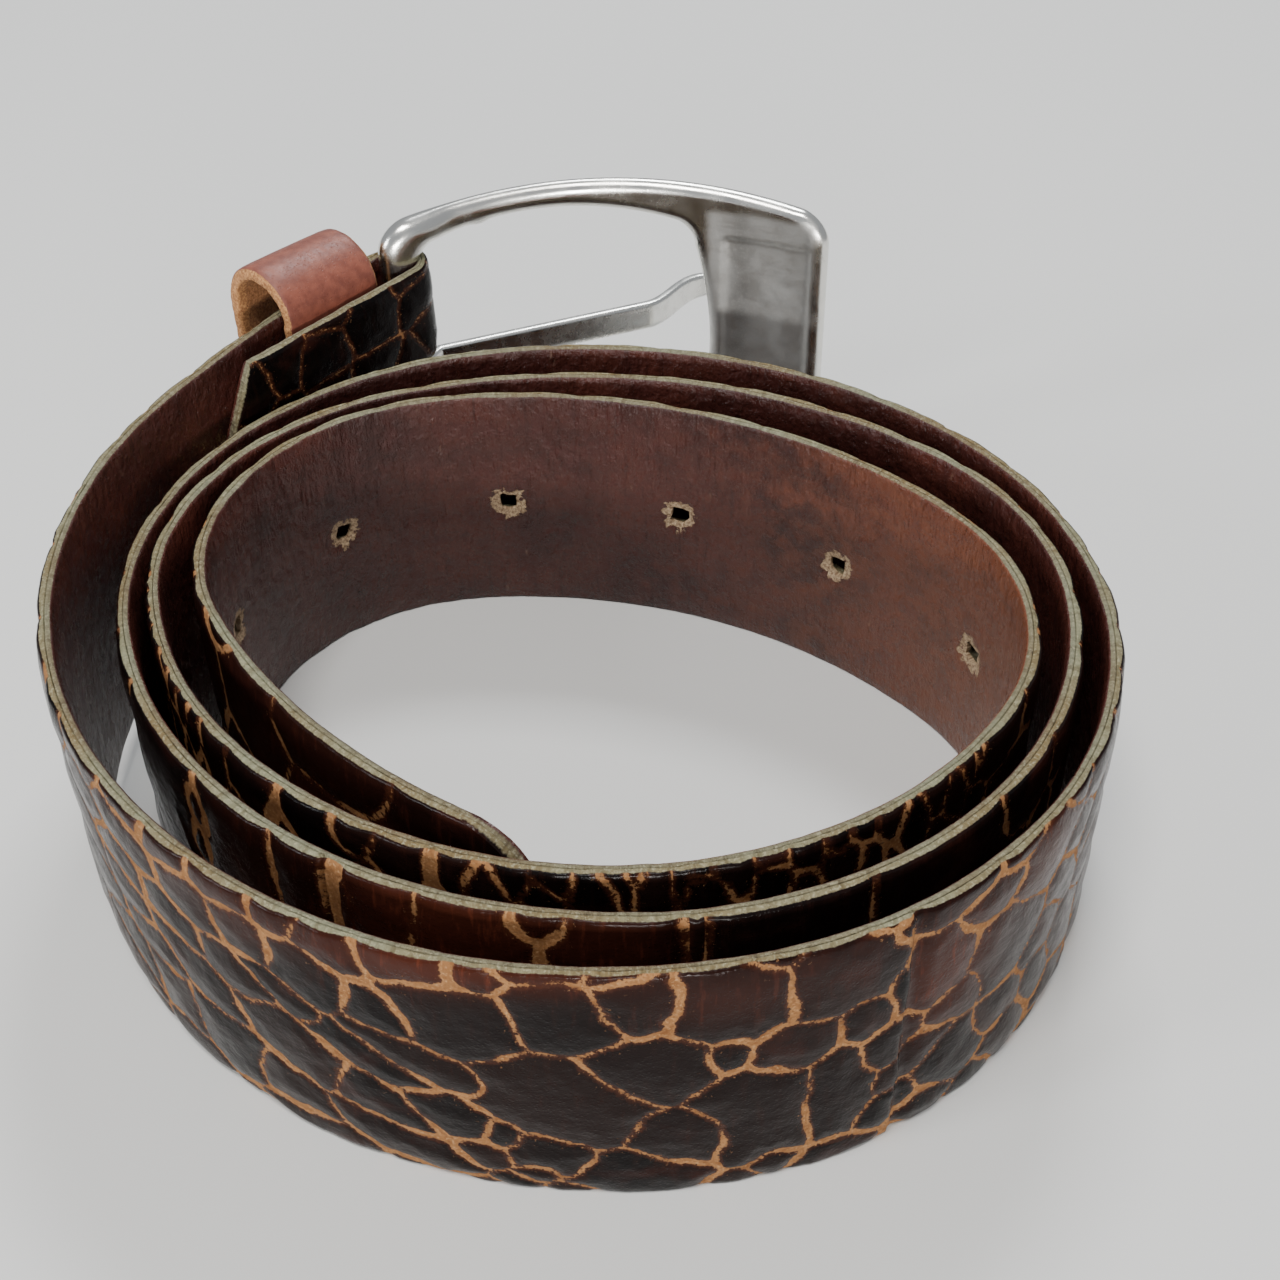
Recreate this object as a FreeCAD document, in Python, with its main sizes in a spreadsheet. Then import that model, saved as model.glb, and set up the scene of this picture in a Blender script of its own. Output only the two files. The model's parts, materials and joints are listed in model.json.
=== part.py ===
import FreeCAD, Part
import math
import os
import Sketcher

# A coiled gentleman's belt: a two-ply leather strap, three turns and a bit, with a bowed
# plate buckle, a prong, a keeper loop and one binding screw that holds the folded tab.
# Millimetres. +Z is up, the strap stands on its lower edge on Z = 0, and the origin is at
# the middle of the object's footprint.

doc = FreeCAD.newDocument("leather_belt")

# ---------------------------------------------------------------- driving dimensions

SIZES = [
    ("strap_width", 35.0),
    ("skin_thickness", 1.2),
    ("lining_thickness", 1.1),
    ("tip_corner_radius", 9.0),
    ("hole_diameter", 3.6),
    ("first_hole", 74.5),
    ("hole_pitch", 25.0),
    ("hole_count", 6),
    ("tab_length", 36.0),
    ("tab_corner_rise", 11.0),
    ("tab_corner_run", 5.5),
    ("slot_width", 6.0),
    ("slot_reach", 7.0),
    ("heel_bar_radius", 2.2),
    ("fold_clearance", 0.3),
    ("frame_height", 52.0),
    ("frame_end_height", 46.0),
    ("frame_length", 62.5),
    ("frame_bow", 8.5),
    ("frame_thickness", 3.0),
    ("rail_width", 4.0),
    ("plate_width", 19.0),
    ("plate_edge_sag", 2.5),
    ("plate_recess", 0.5),
    ("frame_corner_radius", 4.0),
    ("prong_width", 4.5),
    ("prong_thickness", 1.8),
    ("prong_length", 57.0),
    ("prong_jog", 5.5),
    ("prong_clearance", 0.25),
    ("prong_open_angle", 22.0),
    ("keeper_width", 16.3),
    ("keeper_thickness", 2.2),
    ("keeper_start", 5.2),
    ("keeper_inner_gap", 3.3),
    ("keeper_outer_gap", 6.2),
    ("keeper_height", 41.0),
    ("keeper_lift", 5.8),
    ("keeper_low_radius", 3.0),
    ("keeper_top_radius", 4.6),
    ("staple_wire", 0.9),
    ("staple_span", 8.0),
    ("screw_station", 29.0),
    ("screw_head_diameter", 9.0),
    ("screw_head_thickness", 1.0),
    ("post_diameter", 4.4),
    ("screw_diameter", 2.8),
    ("seat_depth", 0.75),
]

sheet = doc.addObject("Spreadsheet::Sheet", "sizes")
for row, (name, value) in enumerate(SIZES, start=1):
    sheet.set("A%d" % row, name)
    sheet.set("B%d" % row, str(value))
    sheet.setAlias("B%d" % row, name)
doc.recompute()


def size(name):
    """A driving dimension, read back from the sheet."""
    return float(getattr(sheet, name))


# ---------------------------------------------------------------- the strap's route

# The glue line between the two plies, seen from above. It starts at the strap's tip and
# turns to the right all the way round. Each arc is (radius, turn in degrees).
TIP = (-3.703, -58.276)
TIP_HEADING = 154.0
COIL_ARCS = [
    (88, 36), (32, 113), (72, 58), (32, 69), (51, 74), (59, 61), (38, 82), (68, 69),
    (40, 43), (51, 89), (62, 74), (49, 95), (67, 60), (55, 119), (68, 12),
]
# The tail: the last stretch leaves the coil's foremost point and climbs to the buckle.
TAIL_ARCS = [(68, 53), (60, 65), (180, 14)]

# The skin is in three panels. These are their joints, measured along the glue line.
TIP_PANEL_END = 637.0
MIDDLE_PANEL_END = 934.0


class Stretch:
    """One arc or straight run of the route. A positive turn is to the right."""

    def __init__(self, x, y, heading, radius, turn, length):
        self.x = x
        self.y = y
        self.heading = heading
        self.radius = radius
        self.turn = turn
        self.length = length

    def at(self, travel, offset=0.0):
        """Point and heading after some travel, offset to the left of the glue line."""
        if self.turn == 0:
            heading = self.heading
            x = self.x + travel * math.cos(heading)
            y = self.y + travel * math.sin(heading)
        else:
            side = math.copysign(1.0, self.turn)
            heading = self.heading - side * travel / self.radius
            centre_x = self.x + side * self.radius * math.sin(self.heading)
            centre_y = self.y - side * self.radius * math.cos(self.heading)
            x = centre_x - side * self.radius * math.sin(heading)
            y = centre_y + side * self.radius * math.cos(heading)
        x -= offset * math.sin(heading)
        y += offset * math.cos(heading)
        return x, y, heading

    def part(self, first, last):
        """The piece of this stretch between two travels."""
        x, y, heading = self.at(first)
        turn = self.turn * (last - first) / self.length
        return Stretch(x, y, heading, self.radius, turn, last - first)


def follow(x, y, heading, arcs):
    """Chain arcs (radius, turn in degrees) and runs (0, length) end to end."""
    stretches = []
    for radius, turn in arcs:
        if radius == 0:
            piece = Stretch(x, y, heading, 0, 0, turn)
        else:
            piece = Stretch(x, y, heading, radius, turn, radius * math.radians(abs(turn)))
        stretches.append(piece)
        x, y, heading = piece.at(piece.length)
    return stretches


def clip(stretches, first, last):
    """The route between two distances from its start."""
    kept = []
    start = 0.0
    for piece in stretches:
        end = start + piece.length
        low = max(first, start)
        high = min(last, end)
        if high - low > 0.001:
            kept.append(piece.part(low - start, high - start))
        start = end
    return kept


def station(stretches, distance, offset=0.0):
    """Point and heading at a distance along the route."""
    start = 0.0
    for piece in stretches:
        if distance <= start + piece.length:
            return piece.at(distance - start, offset)
        start += piece.length
    return piece.at(piece.length, offset)


def route_length(stretches):
    return sum(piece.length for piece in stretches)


def vector(x, y, z=0.0):
    return FreeCAD.Vector(x, y, z)


def side_curves(stretches, offset):
    """The edges of the curve that stays at one offset from the route."""
    curves = []
    for piece in stretches:
        start = vector(*piece.at(0, offset)[:2])
        middle = vector(*piece.at(piece.length / 2, offset)[:2])
        end = vector(*piece.at(piece.length, offset)[:2])
        if piece.turn == 0:
            curves.append(Part.LineSegment(start, end))
        else:
            curves.append(Part.Arc(start, middle, end))
    return curves


def ply_outline(stretches, low, high):
    """The closed outline of a ply between two offsets from the glue line."""
    first = stretches[0]
    last = stretches[-1]
    outline = side_curves(stretches, low) + side_curves(stretches, high)
    outline.append(Part.LineSegment(vector(*first.at(0, low)[:2]), vector(*first.at(0, high)[:2])))
    outline.append(Part.LineSegment(vector(*last.at(last.length, low)[:2]),
                                    vector(*last.at(last.length, high)[:2])))
    return outline


# ---------------------------------------------------------------- helpers for features

def plane_of(body, role):
    for feature in body.Origin.OriginFeatures:
        if feature.Role == role:
            return feature
    raise ValueError("no plane " + role)


def sketch_on(body, role, name, outline):
    sketch = body.newObject("Sketcher::SketchObject", name)
    sketch.AttachmentSupport = [(plane_of(body, role), "")]
    sketch.MapMode = "FlatFace"
    sketch.addGeometry(outline, False)
    return sketch


def pad_of(name, role, outline, length, midplane=False):
    """A body with one padded sketch. The length is an expression on the sheet."""
    body = doc.addObject("PartDesign::Body", name)
    sketch = sketch_on(body, role, name + "_outline", outline)
    pad = body.newObject("PartDesign::Pad", name + "_pad")
    pad.Profile = sketch
    pad.Midplane = midplane
    pad.setExpression("Length", length)
    return body


def combine(kind, name, **links):
    feature = doc.addObject(kind, name)
    for link, value in links.items():
        setattr(feature, link, value)
    return feature


def cut(name, base, tool):
    return combine("Part::Cut", name, Base=base, Tool=tool)


def fuse(name, shapes):
    return combine("Part::MultiFuse", name, Shapes=shapes)


def common(name, base, tool):
    return combine("Part::Common", name, Base=base, Tool=tool)


def cylinder(name, radius, height, base, direction):
    """A cylinder from a base point along a direction. Sizes are expressions."""
    feature = doc.addObject("Part::Cylinder", name)
    feature.setExpression("Radius", radius)
    feature.setExpression("Height", height)
    turn = FreeCAD.Rotation(vector(0, 0, 1), direction)
    feature.Placement = FreeCAD.Placement(base, turn)
    return feature


def box(name, length, width, height, placement):
    feature = doc.addObject("Part::Box", name)
    feature.setExpression("Length", length)
    feature.setExpression("Width", width)
    feature.setExpression("Height", height)
    feature.Placement = placement
    return feature


def place_corner(placement, x, y, z):
    """A placement moved so that its own corner sits at a point of its own axes."""
    return placement.multiply(FreeCAD.Placement(vector(x, y, z), FreeCAD.Rotation()))


def polygon(points):
    """Closed outline of straight lines."""
    lines = []
    for index, start in enumerate(points):
        end = points[(index + 1) % len(points)]
        lines.append(Part.LineSegment(vector(*start), vector(*end)))
    return lines


# ---------------------------------------------------------------- route and rise

fold_radius = size("heel_bar_radius") + size("fold_clearance") + size("lining_thickness")

coil = follow(TIP[0], TIP[1], math.radians(TIP_HEADING), COIL_ARCS)
coil_length = route_length(coil)
tail = follow(*coil[-1].at(coil[-1].length),
              TAIL_ARCS + [(fold_radius, 180), (0, size("tab_length"))])
fold = tail[len(TAIL_ARCS)]
tab_start = coil_length + route_length(tail[:len(TAIL_ARCS) + 1])
total_length = coil_length + route_length(tail)
route = coil + tail

# The heel bar's axis is the centre of the fold.
fold_x, fold_y, fold_heading = fold.at(0)
bar_x = fold_x + fold_radius * math.sin(fold_heading)
bar_y = fold_y - fold_radius * math.cos(fold_heading)

# The buckle stands on its lower rail and is taller than the strap, so the tail climbs
# evenly towards the bar, to bring the strap's middle to the buckle's middle.
buckle_middle = size("frame_height") / 2
bar_rise = buckle_middle - size("strap_width") / 2
rise_start = tail[0].y + size("lining_thickness") + 0.1
rise_slope = bar_rise / (bar_y - rise_start)


def rise_at(y):
    return rise_slope * max(0.0, y - rise_start)


print("strap length %.1f mm, to the fold %.1f mm" % (total_length, coil_length
                                                     + route_length(tail[:len(TAIL_ARCS)])))
print("heel bar at", round(bar_x, 3), round(bar_y, 3), "slope", round(rise_slope, 4))

# Everything at the buckle end is laid out from the bar, with X back along the strap,
# Y towards the coil's centre and Z up.
back_turn = FreeCAD.Rotation(vector(0, 0, 1), math.degrees(fold_heading) + 180.0)
bar_frame = FreeCAD.Placement(vector(bar_x, bar_y), back_turn)
strap_side = -fold_radius

# ---------------------------------------------------------------- strap plies

FAR = 300.0
NEAR = 30.0
TALL = "sizes.strap_width * 2"
# A knife that trims one ply end is only this thick, so that it spares the next layer.
BLADE_EXCESS = 0.6
BLADE = "sizes.skin_thickness + sizes.lining_thickness + %s" % BLADE_EXCESS


def climbing_slab(name):
    """The space between the two sloping planes that the tail's edges follow."""
    width = size("strap_width")
    far_y = rise_start + FAR
    near_y = rise_start - NEAR
    points = [(near_y, 0), (rise_start, 0), (far_y, rise_at(far_y)),
              (far_y, rise_at(far_y) + width), (rise_start, width), (near_y, width)]
    return pad_of(name, "YZ_Plane", polygon(points), "sizes.frame_height * 6", True)


def ply(name, first, last, low, high):
    """A ply between two distances along the strap and two offsets, edges trimmed."""
    flat = clip(coil, first, min(last, coil_length))
    shapes = []
    if flat:
        shapes.append(pad_of(name + "_flat", "XY_Plane", ply_outline(flat, low, high),
                             "sizes.strap_width"))
    if last > coil_length:
        climb = clip(tail, max(0.0, first - coil_length), last - coil_length)
        tall = pad_of(name + "_tall", "XY_Plane", ply_outline(climb, low, high), TALL)
        shapes.append(common(name + "_climb", tall, climbing_slab(name + "_slab")))
    if len(shapes) == 1:
        return shapes[0]
    return fuse(name + "_whole", shapes)


def normal_at(heading):
    """Level direction to the left of a heading, the skin's side of the strap."""
    return vector(-math.sin(heading), math.cos(heading))


def hole_tools(name):
    """Round punches through both plies at each buckle hole."""
    punches = []
    reach = size("skin_thickness") + size("lining_thickness")
    for index in range(int(size("hole_count"))):
        distance = size("first_hole") + index * size("hole_pitch")
        x, y, heading = station(route, distance)
        direction = normal_at(heading)
        base = vector(x, y, size("strap_width") / 2) - direction * reach
        punches.append(cylinder("%s_punch_%d" % (name, index + 1), "sizes.hole_diameter / 2",
                                "2 * (sizes.skin_thickness + sizes.lining_thickness)",
                                base, direction))
    return fuse(name + "_punches", punches)


def tip_knives(name):
    """Rounds the two corners of the strap's tip."""
    radius = size("tip_corner_radius")
    half_blade = (size("skin_thickness") + size("lining_thickness") + BLADE_EXCESS) / 2
    x, y, heading = station(route, 0.0)
    width = size("strap_width")
    turn = FreeCAD.Rotation(vector(0, 0, 1), math.degrees(heading))
    place = FreeCAD.Placement(vector(x, y), turn)
    knives = []
    for corner, low in (("lower", 0.0), ("upper", width - radius)):
        block = box("%s_%s_block" % (name, corner), "sizes.tip_corner_radius + 1",
                    BLADE, "sizes.tip_corner_radius + 1",
                    place_corner(place, -1.0, -half_blade, low - (1.0 if low == 0.0 else 0.0)))
        middle = radius if low == 0.0 else width - radius
        axis_start = place.multVec(vector(radius, -7.0, middle))
        rod = cylinder("%s_%s_rod" % (name, corner), "sizes.tip_corner_radius", "14",
                       axis_start, normal_at(heading))
        knives.append(cut("%s_%s_knife" % (name, corner), block, rod))
    return fuse(name + "_knives", knives)


def slot_knife(name):
    """The slot in the fold that lets the prong reach the heel bar."""
    outer = fold_radius + size("skin_thickness") + 1.0
    corner = place_corner(bar_frame, -outer, -outer, buckle_middle - size("slot_width") / 2)
    return box(name, "%f + sizes.slot_reach" % outer, "%f" % (2 * outer), "sizes.slot_width",
               corner)


def tab_knives(name):
    """Cuts the tab's two end corners at a slant."""
    x, y, heading = station(route, total_length)
    run = size("tab_corner_run")
    rise = size("tab_corner_rise")
    low = rise_at(y)
    high = low + size("strap_width")
    knives = []
    for corner, z, flip in (("lower", low, 1.0), ("upper", high, -1.0)):
        points = [(-1, -3 * flip), (run + 2, -3 * flip), (run + 2, -1.5 * flip),
                  (run, -0.4 * flip), (0, rise * flip), (-1, rise * flip)]
        blade = pad_of("%s_%s_blade" % (name, corner), "XZ_Plane", polygon(points), BLADE, True)
        turn = FreeCAD.Rotation(vector(0, 0, 1), math.degrees(heading) + 180.0)
        blade.Placement = FreeCAD.Placement(vector(x, y, z), turn)
        knives.append(blade)
    return fuse(name + "_knives", knives)


# The binding screw's axis crosses both layers at mid width, square to their mean.
screw_x, screw_y, tab_heading = station(route, tab_start + size("screw_station"))
strap_arc = tail[len(TAIL_ARCS) - 1]
strap_heading = fold_heading + size("screw_station") / strap_arc.radius
screw_direction = normal_at((tab_heading + strap_heading - math.pi) / 2)
screw_middle = vector(screw_x, screw_y, rise_at(screw_y) + size("strap_width") / 2)


def layer_gap():
    """Distance along the screw from the tab's glue line to the strap's."""
    centre = vector(strap_arc.x + strap_arc.radius * math.sin(strap_arc.heading),
                    strap_arc.y - strap_arc.radius * math.cos(strap_arc.heading))
    away = vector(screw_x, screw_y) - centre
    along = away.dot(-screw_direction)
    rest = away.dot(away) - strap_arc.radius ** 2
    return -along + math.sqrt(along ** 2 - rest)


strap_gap = layer_gap()
tab_seat = screw_middle + screw_direction * (size("skin_thickness") - size("seat_depth"))
strap_seat = screw_middle - screw_direction * (strap_gap + size("skin_thickness")
                                               - size("seat_depth"))
seat_span = (tab_seat - strap_seat).Length


# Play round the post and the heads, gaps at the blind ends and how far a drill overruns.
SEAT_PLAY = 0.1
BORE_PLAY = 0.05
POST_END_GAP = 0.2
SHANK_END_GAP = 0.8
BORE_LEAD = 0.3
BORE_OVERRUN = 2.0
DRIVER_SLOT_DEPTH = 0.5
DRIVER_SLOT_WIDTH = 1.0


def screw_knives(name):
    """The hole through both layers and the two dished seats under the heads."""
    through = cylinder(name + "_through", "sizes.post_diameter / 2 + %s" % SEAT_PLAY,
                       "%f" % seat_span, strap_seat, screw_direction)
    seats = [cylinder(name + "_tab_seat", "sizes.screw_head_diameter / 2 + %s" % SEAT_PLAY, "1",
                      tab_seat, screw_direction),
             cylinder(name + "_strap_seat", "sizes.screw_head_diameter / 2 + %s" % SEAT_PLAY, "1",
                      strap_seat, -screw_direction)]
    return fuse(name + "_knives", [through] + seats)


def buckle_end_knives(name):
    return fuse(name + "_end_knives", [slot_knife(name + "_slot"), tab_knives(name + "_tab"),
                                       screw_knives(name + "_screw")])


skin_reach = size("skin_thickness")
lining_reach = -size("lining_thickness")

tip_panel = ply("tip_panel", 0.0, TIP_PANEL_END, 0.0, skin_reach)
strap_skin_tip_end = cut("strap_skin_tip_end", tip_panel,
                         fuse("tip_panel_knives", [hole_tools("tip_panel"),
                                                   tip_knives("tip_panel")]))
strap_skin_middle = ply("strap_skin_middle", TIP_PANEL_END, MIDDLE_PANEL_END, 0.0, skin_reach)
buckle_panel = ply("buckle_panel", MIDDLE_PANEL_END, total_length, 0.0, skin_reach)
strap_skin_buckle_end = cut("strap_skin_buckle_end", buckle_panel,
                            buckle_end_knives("buckle_panel"))
lining = ply("lining", 0.0, total_length, lining_reach, 0.0)
strap_lining = cut("strap_lining", lining,
                   fuse("lining_all_knives", [hole_tools("lining"), tip_knives("lining_tip"),
                                              buckle_end_knives("lining")]))

# ---------------------------------------------------------------- binding post and screw


def binding_post():
    """A tube with a flat head on the tab's skin, threaded by the screw inside it."""
    head = cylinder("post_head", "sizes.screw_head_diameter / 2", "sizes.screw_head_thickness",
                    tab_seat, screw_direction)
    tube = cylinder("post_tube", "sizes.post_diameter / 2", "%f" % (seat_span - POST_END_GAP),
                    tab_seat, -screw_direction)
    bore = cylinder("post_bore", "sizes.screw_diameter / 2 + %s" % BORE_PLAY,
                    "%f" % (seat_span + BORE_OVERRUN), tab_seat - screw_direction * BORE_LEAD,
                    -screw_direction)
    return cut("binding_post", fuse("post_solid", [head, tube]), bore)


def binding_screw():
    """A slotted flat head on the strap's skin, with its shank inside the post."""
    head = cylinder("screw_head", "sizes.screw_head_diameter / 2", "sizes.screw_head_thickness",
                    strap_seat, -screw_direction)
    shank = cylinder("screw_shank", "sizes.screw_diameter / 2", "%f" % (seat_span - SHANK_END_GAP),
                     strap_seat, screw_direction)
    slot_turn = FreeCAD.Rotation(vector(0, 0, 1), -screw_direction)
    slot_base = strap_seat - screw_direction * (size("screw_head_thickness")
                                                - DRIVER_SLOT_DEPTH)
    slot_place = FreeCAD.Placement(slot_base, slot_turn)
    driver_slot = box("driver_slot", "sizes.screw_head_diameter + 2", str(DRIVER_SLOT_WIDTH), "2",
                      place_corner(slot_place, -size("screw_head_diameter") / 2 - 1,
                                   -DRIVER_SLOT_WIDTH / 2, 0))
    return cut("binding_screw", fuse("screw_solid", [head, shank]), driver_slot)


# ---------------------------------------------------------------- keeper loop and staple


def rounded_window(y_low, y_high, z_low, z_high, foot, crown):
    """A rounded rectangle, foot and crown being its lower and upper corner radii."""
    corners = [(y_high - foot, z_low + foot, -90, foot), (y_high - crown, z_high - crown, 0, crown),
               (y_low + crown, z_high - crown, 90, crown), (y_low + foot, z_low + foot, 180, foot)]
    outline = []
    ends = []
    for centre_y, centre_z, start, radius in corners:
        spots = []
        for step in (0, 45, 90):
            angle = math.radians(start + step)
            spots.append(vector(centre_y + radius * math.cos(angle),
                                centre_z + radius * math.sin(angle)))
        outline.append(Part.Arc(*spots))
        ends.append((spots[0], spots[2]))
    for index in range(4):
        outline.append(Part.LineSegment(ends[index][1], ends[(index + 1) % 4][0]))
    return outline


# The keeper stands round the strap only. Its inner leg runs in the gap to the tab.
keeper_inner_face = strap_side + size("keeper_inner_gap")
keeper_outer_face = strap_side - size("keeper_outer_gap")
keeper_low = size("keeper_lift")
keeper_high = keeper_low + size("keeper_height")
keeper_place = bar_frame.multiply(FreeCAD.Placement(vector(size("keeper_start"), 0, 0),
                                                    FreeCAD.Rotation()))


# The staple: play in its hole, height as a share of the loop, and its crown's stand-off
# and its legs' depth as shares of the wire and of the leather.
STAPLE_PLAY = 0.02
STAPLE_HEIGHT = 0.36
STAPLE_STAND_OFF = 0.55
STAPLE_BITE = 0.8


def keeper_loop():
    """A band of leather bent into a tall rounded loop, open side along the strap."""
    thick = size("keeper_thickness")
    foot = size("keeper_low_radius")
    crown = size("keeper_top_radius")
    outline = rounded_window(keeper_outer_face - thick, keeper_inner_face + thick,
                             keeper_low - thick, keeper_high + thick, foot + thick, crown + thick)
    outline += rounded_window(keeper_outer_face, keeper_inner_face, keeper_low, keeper_high,
                              foot, crown)
    body = pad_of("keeper_band", "YZ_Plane", outline, "sizes.keeper_width")
    body.Placement = keeper_place
    return cut("keeper_loop", body, staple_wire("keeper_hole", "sizes.staple_wire / 2 + %s" % STAPLE_PLAY))


def staple_wire(name, radius):
    """A wire staple: a crown outside the outer leg and two points through the leather."""
    thick = size("keeper_thickness")
    half = size("staple_span") / 2
    wire = size("staple_wire")
    middle_x = size("keeper_width") / 2
    middle_z = keeper_low + size("keeper_height") * STAPLE_HEIGHT
    crown_y = keeper_outer_face + wire * STAPLE_STAND_OFF
    pieces = []
    crown_base = keeper_place.multVec(vector(middle_x - half, crown_y, middle_z))
    along = keeper_place.Rotation.multVec(vector(1, 0, 0))
    across = keeper_place.Rotation.multVec(vector(0, -1, 0))
    pieces.append(cylinder(name + "_crown", radius, "sizes.staple_span", crown_base, along))
    for side in (-half, half):
        base = keeper_place.multVec(vector(middle_x + side, crown_y, middle_z))
        leg = cylinder("%s_leg_%s" % (name, "near" if side < 0 else "far"), radius,
                       "sizes.keeper_thickness * %s" % STAPLE_BITE, base, across)
        knuckle = doc.addObject("Part::Sphere", "%s_knuckle_%s" % (name, "near" if side < 0
                                                                   else "far"))
        knuckle.setExpression("Radius", radius)
        knuckle.Placement = FreeCAD.Placement(base, FreeCAD.Rotation())
        pieces += [leg, knuckle]
    return fuse(name, pieces)


# ---------------------------------------------------------------- buckle frame

# In the frame's own axes the heel bar is the Z axis, X runs to the plate and Y outward.
bar_spot = FreeCAD.Placement(vector(bar_x, bar_y), FreeCAD.Rotation())
frame_length = size("frame_length")
bow_radius = ((frame_length / 2) ** 2 + size("frame_bow") ** 2) / (2 * size("frame_bow"))
bow_centre_y = size("frame_bow") - bow_radius


# The band is cut a little longer than the frame at each end, in radians of its bow.
BAND_OVERRUN = 0.03
BAR_OVERRUN = 0.05
WINDOW_DEPTH = 40.0
WINDOW_OFFSET = 25.0
OPENING_START = -6.0
OPENING_RADIUS = 2.5
RECESS_INNER_MARGIN = 5.0
RECESS_OUTER_MARGIN = 2.2
RECESS_BULGE = 1.0
RECESS_RADIUS = 1.5


def bowed_band():
    """A curved strip of constant thickness, seen from above, as tall as the frame."""
    half = size("frame_thickness") / 2
    frame_reach = math.asin(frame_length / 2 / bow_radius)
    reach = frame_reach + BAND_OVERRUN
    reach_bar = frame_reach + BAR_OVERRUN
    outline = []
    ends = []
    for radius in (bow_radius - half, bow_radius + half):
        spots = []
        for angle in (-reach_bar, 0.0, reach):
            spots.append(vector(frame_length / 2 + radius * math.sin(angle),
                                bow_centre_y + radius * math.cos(angle)))
        outline.append(Part.Arc(*spots))
        ends.append((spots[0], spots[2]))
    outline.append(Part.LineSegment(ends[0][0], ends[1][0]))
    outline.append(Part.LineSegment(ends[0][1], ends[1][1]))
    return pad_of("bowed_band", "XY_Plane", outline, "sizes.frame_height")


def bulged_window(left, right, low, high, bulge, radius, right_sag=0.0):
    """A window with bulging top and bottom edges and rounded corners, cut by a fillet."""
    corners = [vector(left, low), vector(right, low), vector(right, high), vector(left, high)]
    middle = (left + right) / 2
    edges = [Part.Arc(corners[0], vector(middle, low - bulge), corners[1]).toShape(),
             Part.Arc(corners[1], vector(right + right_sag, (low + high) / 2),
                      corners[2]).toShape() if right_sag else
             Part.LineSegment(corners[1], corners[2]).toShape(),
             Part.Arc(corners[2], vector(middle, high + bulge), corners[3]).toShape(),
             Part.LineSegment(corners[3], corners[0]).toShape()]
    prism = Part.Face(Part.Wire(edges)).extrude(vector(0, 0, WINDOW_DEPTH))
    upright = [edge for edge in prism.Edges
               if len(edge.Vertexes) == 2 and
               abs(edge.Vertexes[0].Z - edge.Vertexes[1].Z) > WINDOW_DEPTH - 1.0]
    rounded = prism.makeFillet(radius, upright)
    rounded.rotate(vector(0, 0, 0), vector(1, 0, 0), 90)
    rounded.translate(vector(0, WINDOW_OFFSET, 0))
    return rounded


def window(name, *args, **options):
    feature = doc.addObject("Part::Feature", name)
    feature.Shape = bulged_window(*args, **options)
    return feature


def buckle_frame():
    """Two bowed rails, a wide plate at one end and the round heel bar at the other."""
    bulge = (size("frame_height") - size("frame_end_height")) / 2
    low = bulge
    high = size("frame_height") - bulge
    rail = size("rail_width")
    bar = size("heel_bar_radius")
    outer = window("frame_outline", -bar, frame_length, low, high, bulge,
                   size("frame_corner_radius"))
    opening = window("frame_opening", OPENING_START, frame_length - size("plate_width"),
                     low + rail, high - rail, bulge, OPENING_RADIUS,
                     right_sag=size("plate_edge_sag"))
    band = common("frame_band", bowed_band(), outer)
    hollow = cut("frame_hollow", band, opening)
    heel = cylinder("heel_bar", "sizes.heel_bar_radius", "sizes.frame_end_height - 2",
                    vector(0, 0, bulge + 1), vector(0, 0, 1))
    solid = fuse("frame_solid", [hollow, heel])
    recess = window("plate_recess_tool",
                    frame_length - size("plate_width") + RECESS_INNER_MARGIN,
                    frame_length - RECESS_OUTER_MARGIN, low + rail, high - rail,
                    RECESS_BULGE, RECESS_RADIUS)
    shell = cylinder("recess_floor", "%f + sizes.plate_recess" % (bow_radius
                                                                - size("frame_thickness") / 2),
                     "sizes.frame_height + 2", vector(frame_length / 2, bow_centre_y, -1),
                     vector(0, 0, 1))
    recess_tool = common("plate_recess_cut", recess, shell)
    frame = cut("buckle_frame", solid, recess_tool)
    frame.Placement = bar_spot
    return frame


# ---------------------------------------------------------------- prong


# Where the jog starts and ends, back from the tip, how the tip drops and thins, and where
# the strip leaves its curl.
JOG_START = 17.0
JOG_END = 7.0
JOG_SHIFT = 0.5
TIP_DROP = 0.6
TIP_THINNING = 0.7
CURL_OVERLAP = 0.6


def prong():
    """A flat strip curled round the heel bar, with an outward jog before its tip."""
    inner = size("heel_bar_radius") + size("prong_clearance")
    outer = inner + size("prong_thickness")
    thick = size("prong_thickness")
    length = size("prong_length")
    jog = size("prong_jog")
    jog_start = length - JOG_START
    jog_end = length - JOG_END
    root_y = -thick / 2
    root_x = inner + CURL_OVERLAP
    tip_y = root_y + jog - TIP_DROP
    points = [(root_x, root_y), (jog_start, root_y), (jog_end, root_y + jog),
              (length, tip_y), (length, tip_y + thick * TIP_THINNING),
              (jog_end - JOG_SHIFT, root_y + jog + thick),
              (jog_start - JOG_SHIFT, root_y + thick), (root_x, root_y + thick)]
    strip = pad_of("prong_strip", "XY_Plane", polygon(points), "sizes.prong_width")
    ring = cylinder("prong_curl", "%f" % outer, "sizes.prong_width", vector(0, 0, 0),
                    vector(0, 0, 1))
    bore = cylinder("prong_bore", "sizes.heel_bar_radius + sizes.prong_clearance",
                    "sizes.prong_width + 4", vector(0, 0, -2), vector(0, 0, 1))
    blank = cut("prong", fuse("prong_blank", [strip, ring]), bore)
    open_turn = FreeCAD.Rotation(vector(0, 0, 1), size("prong_open_angle"))
    middle = buckle_middle - size("prong_width") / 2
    blank.Placement = FreeCAD.Placement(vector(bar_x, bar_y, middle), open_turn)
    return blank


# ---------------------------------------------------------------- the finished pieces

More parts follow.
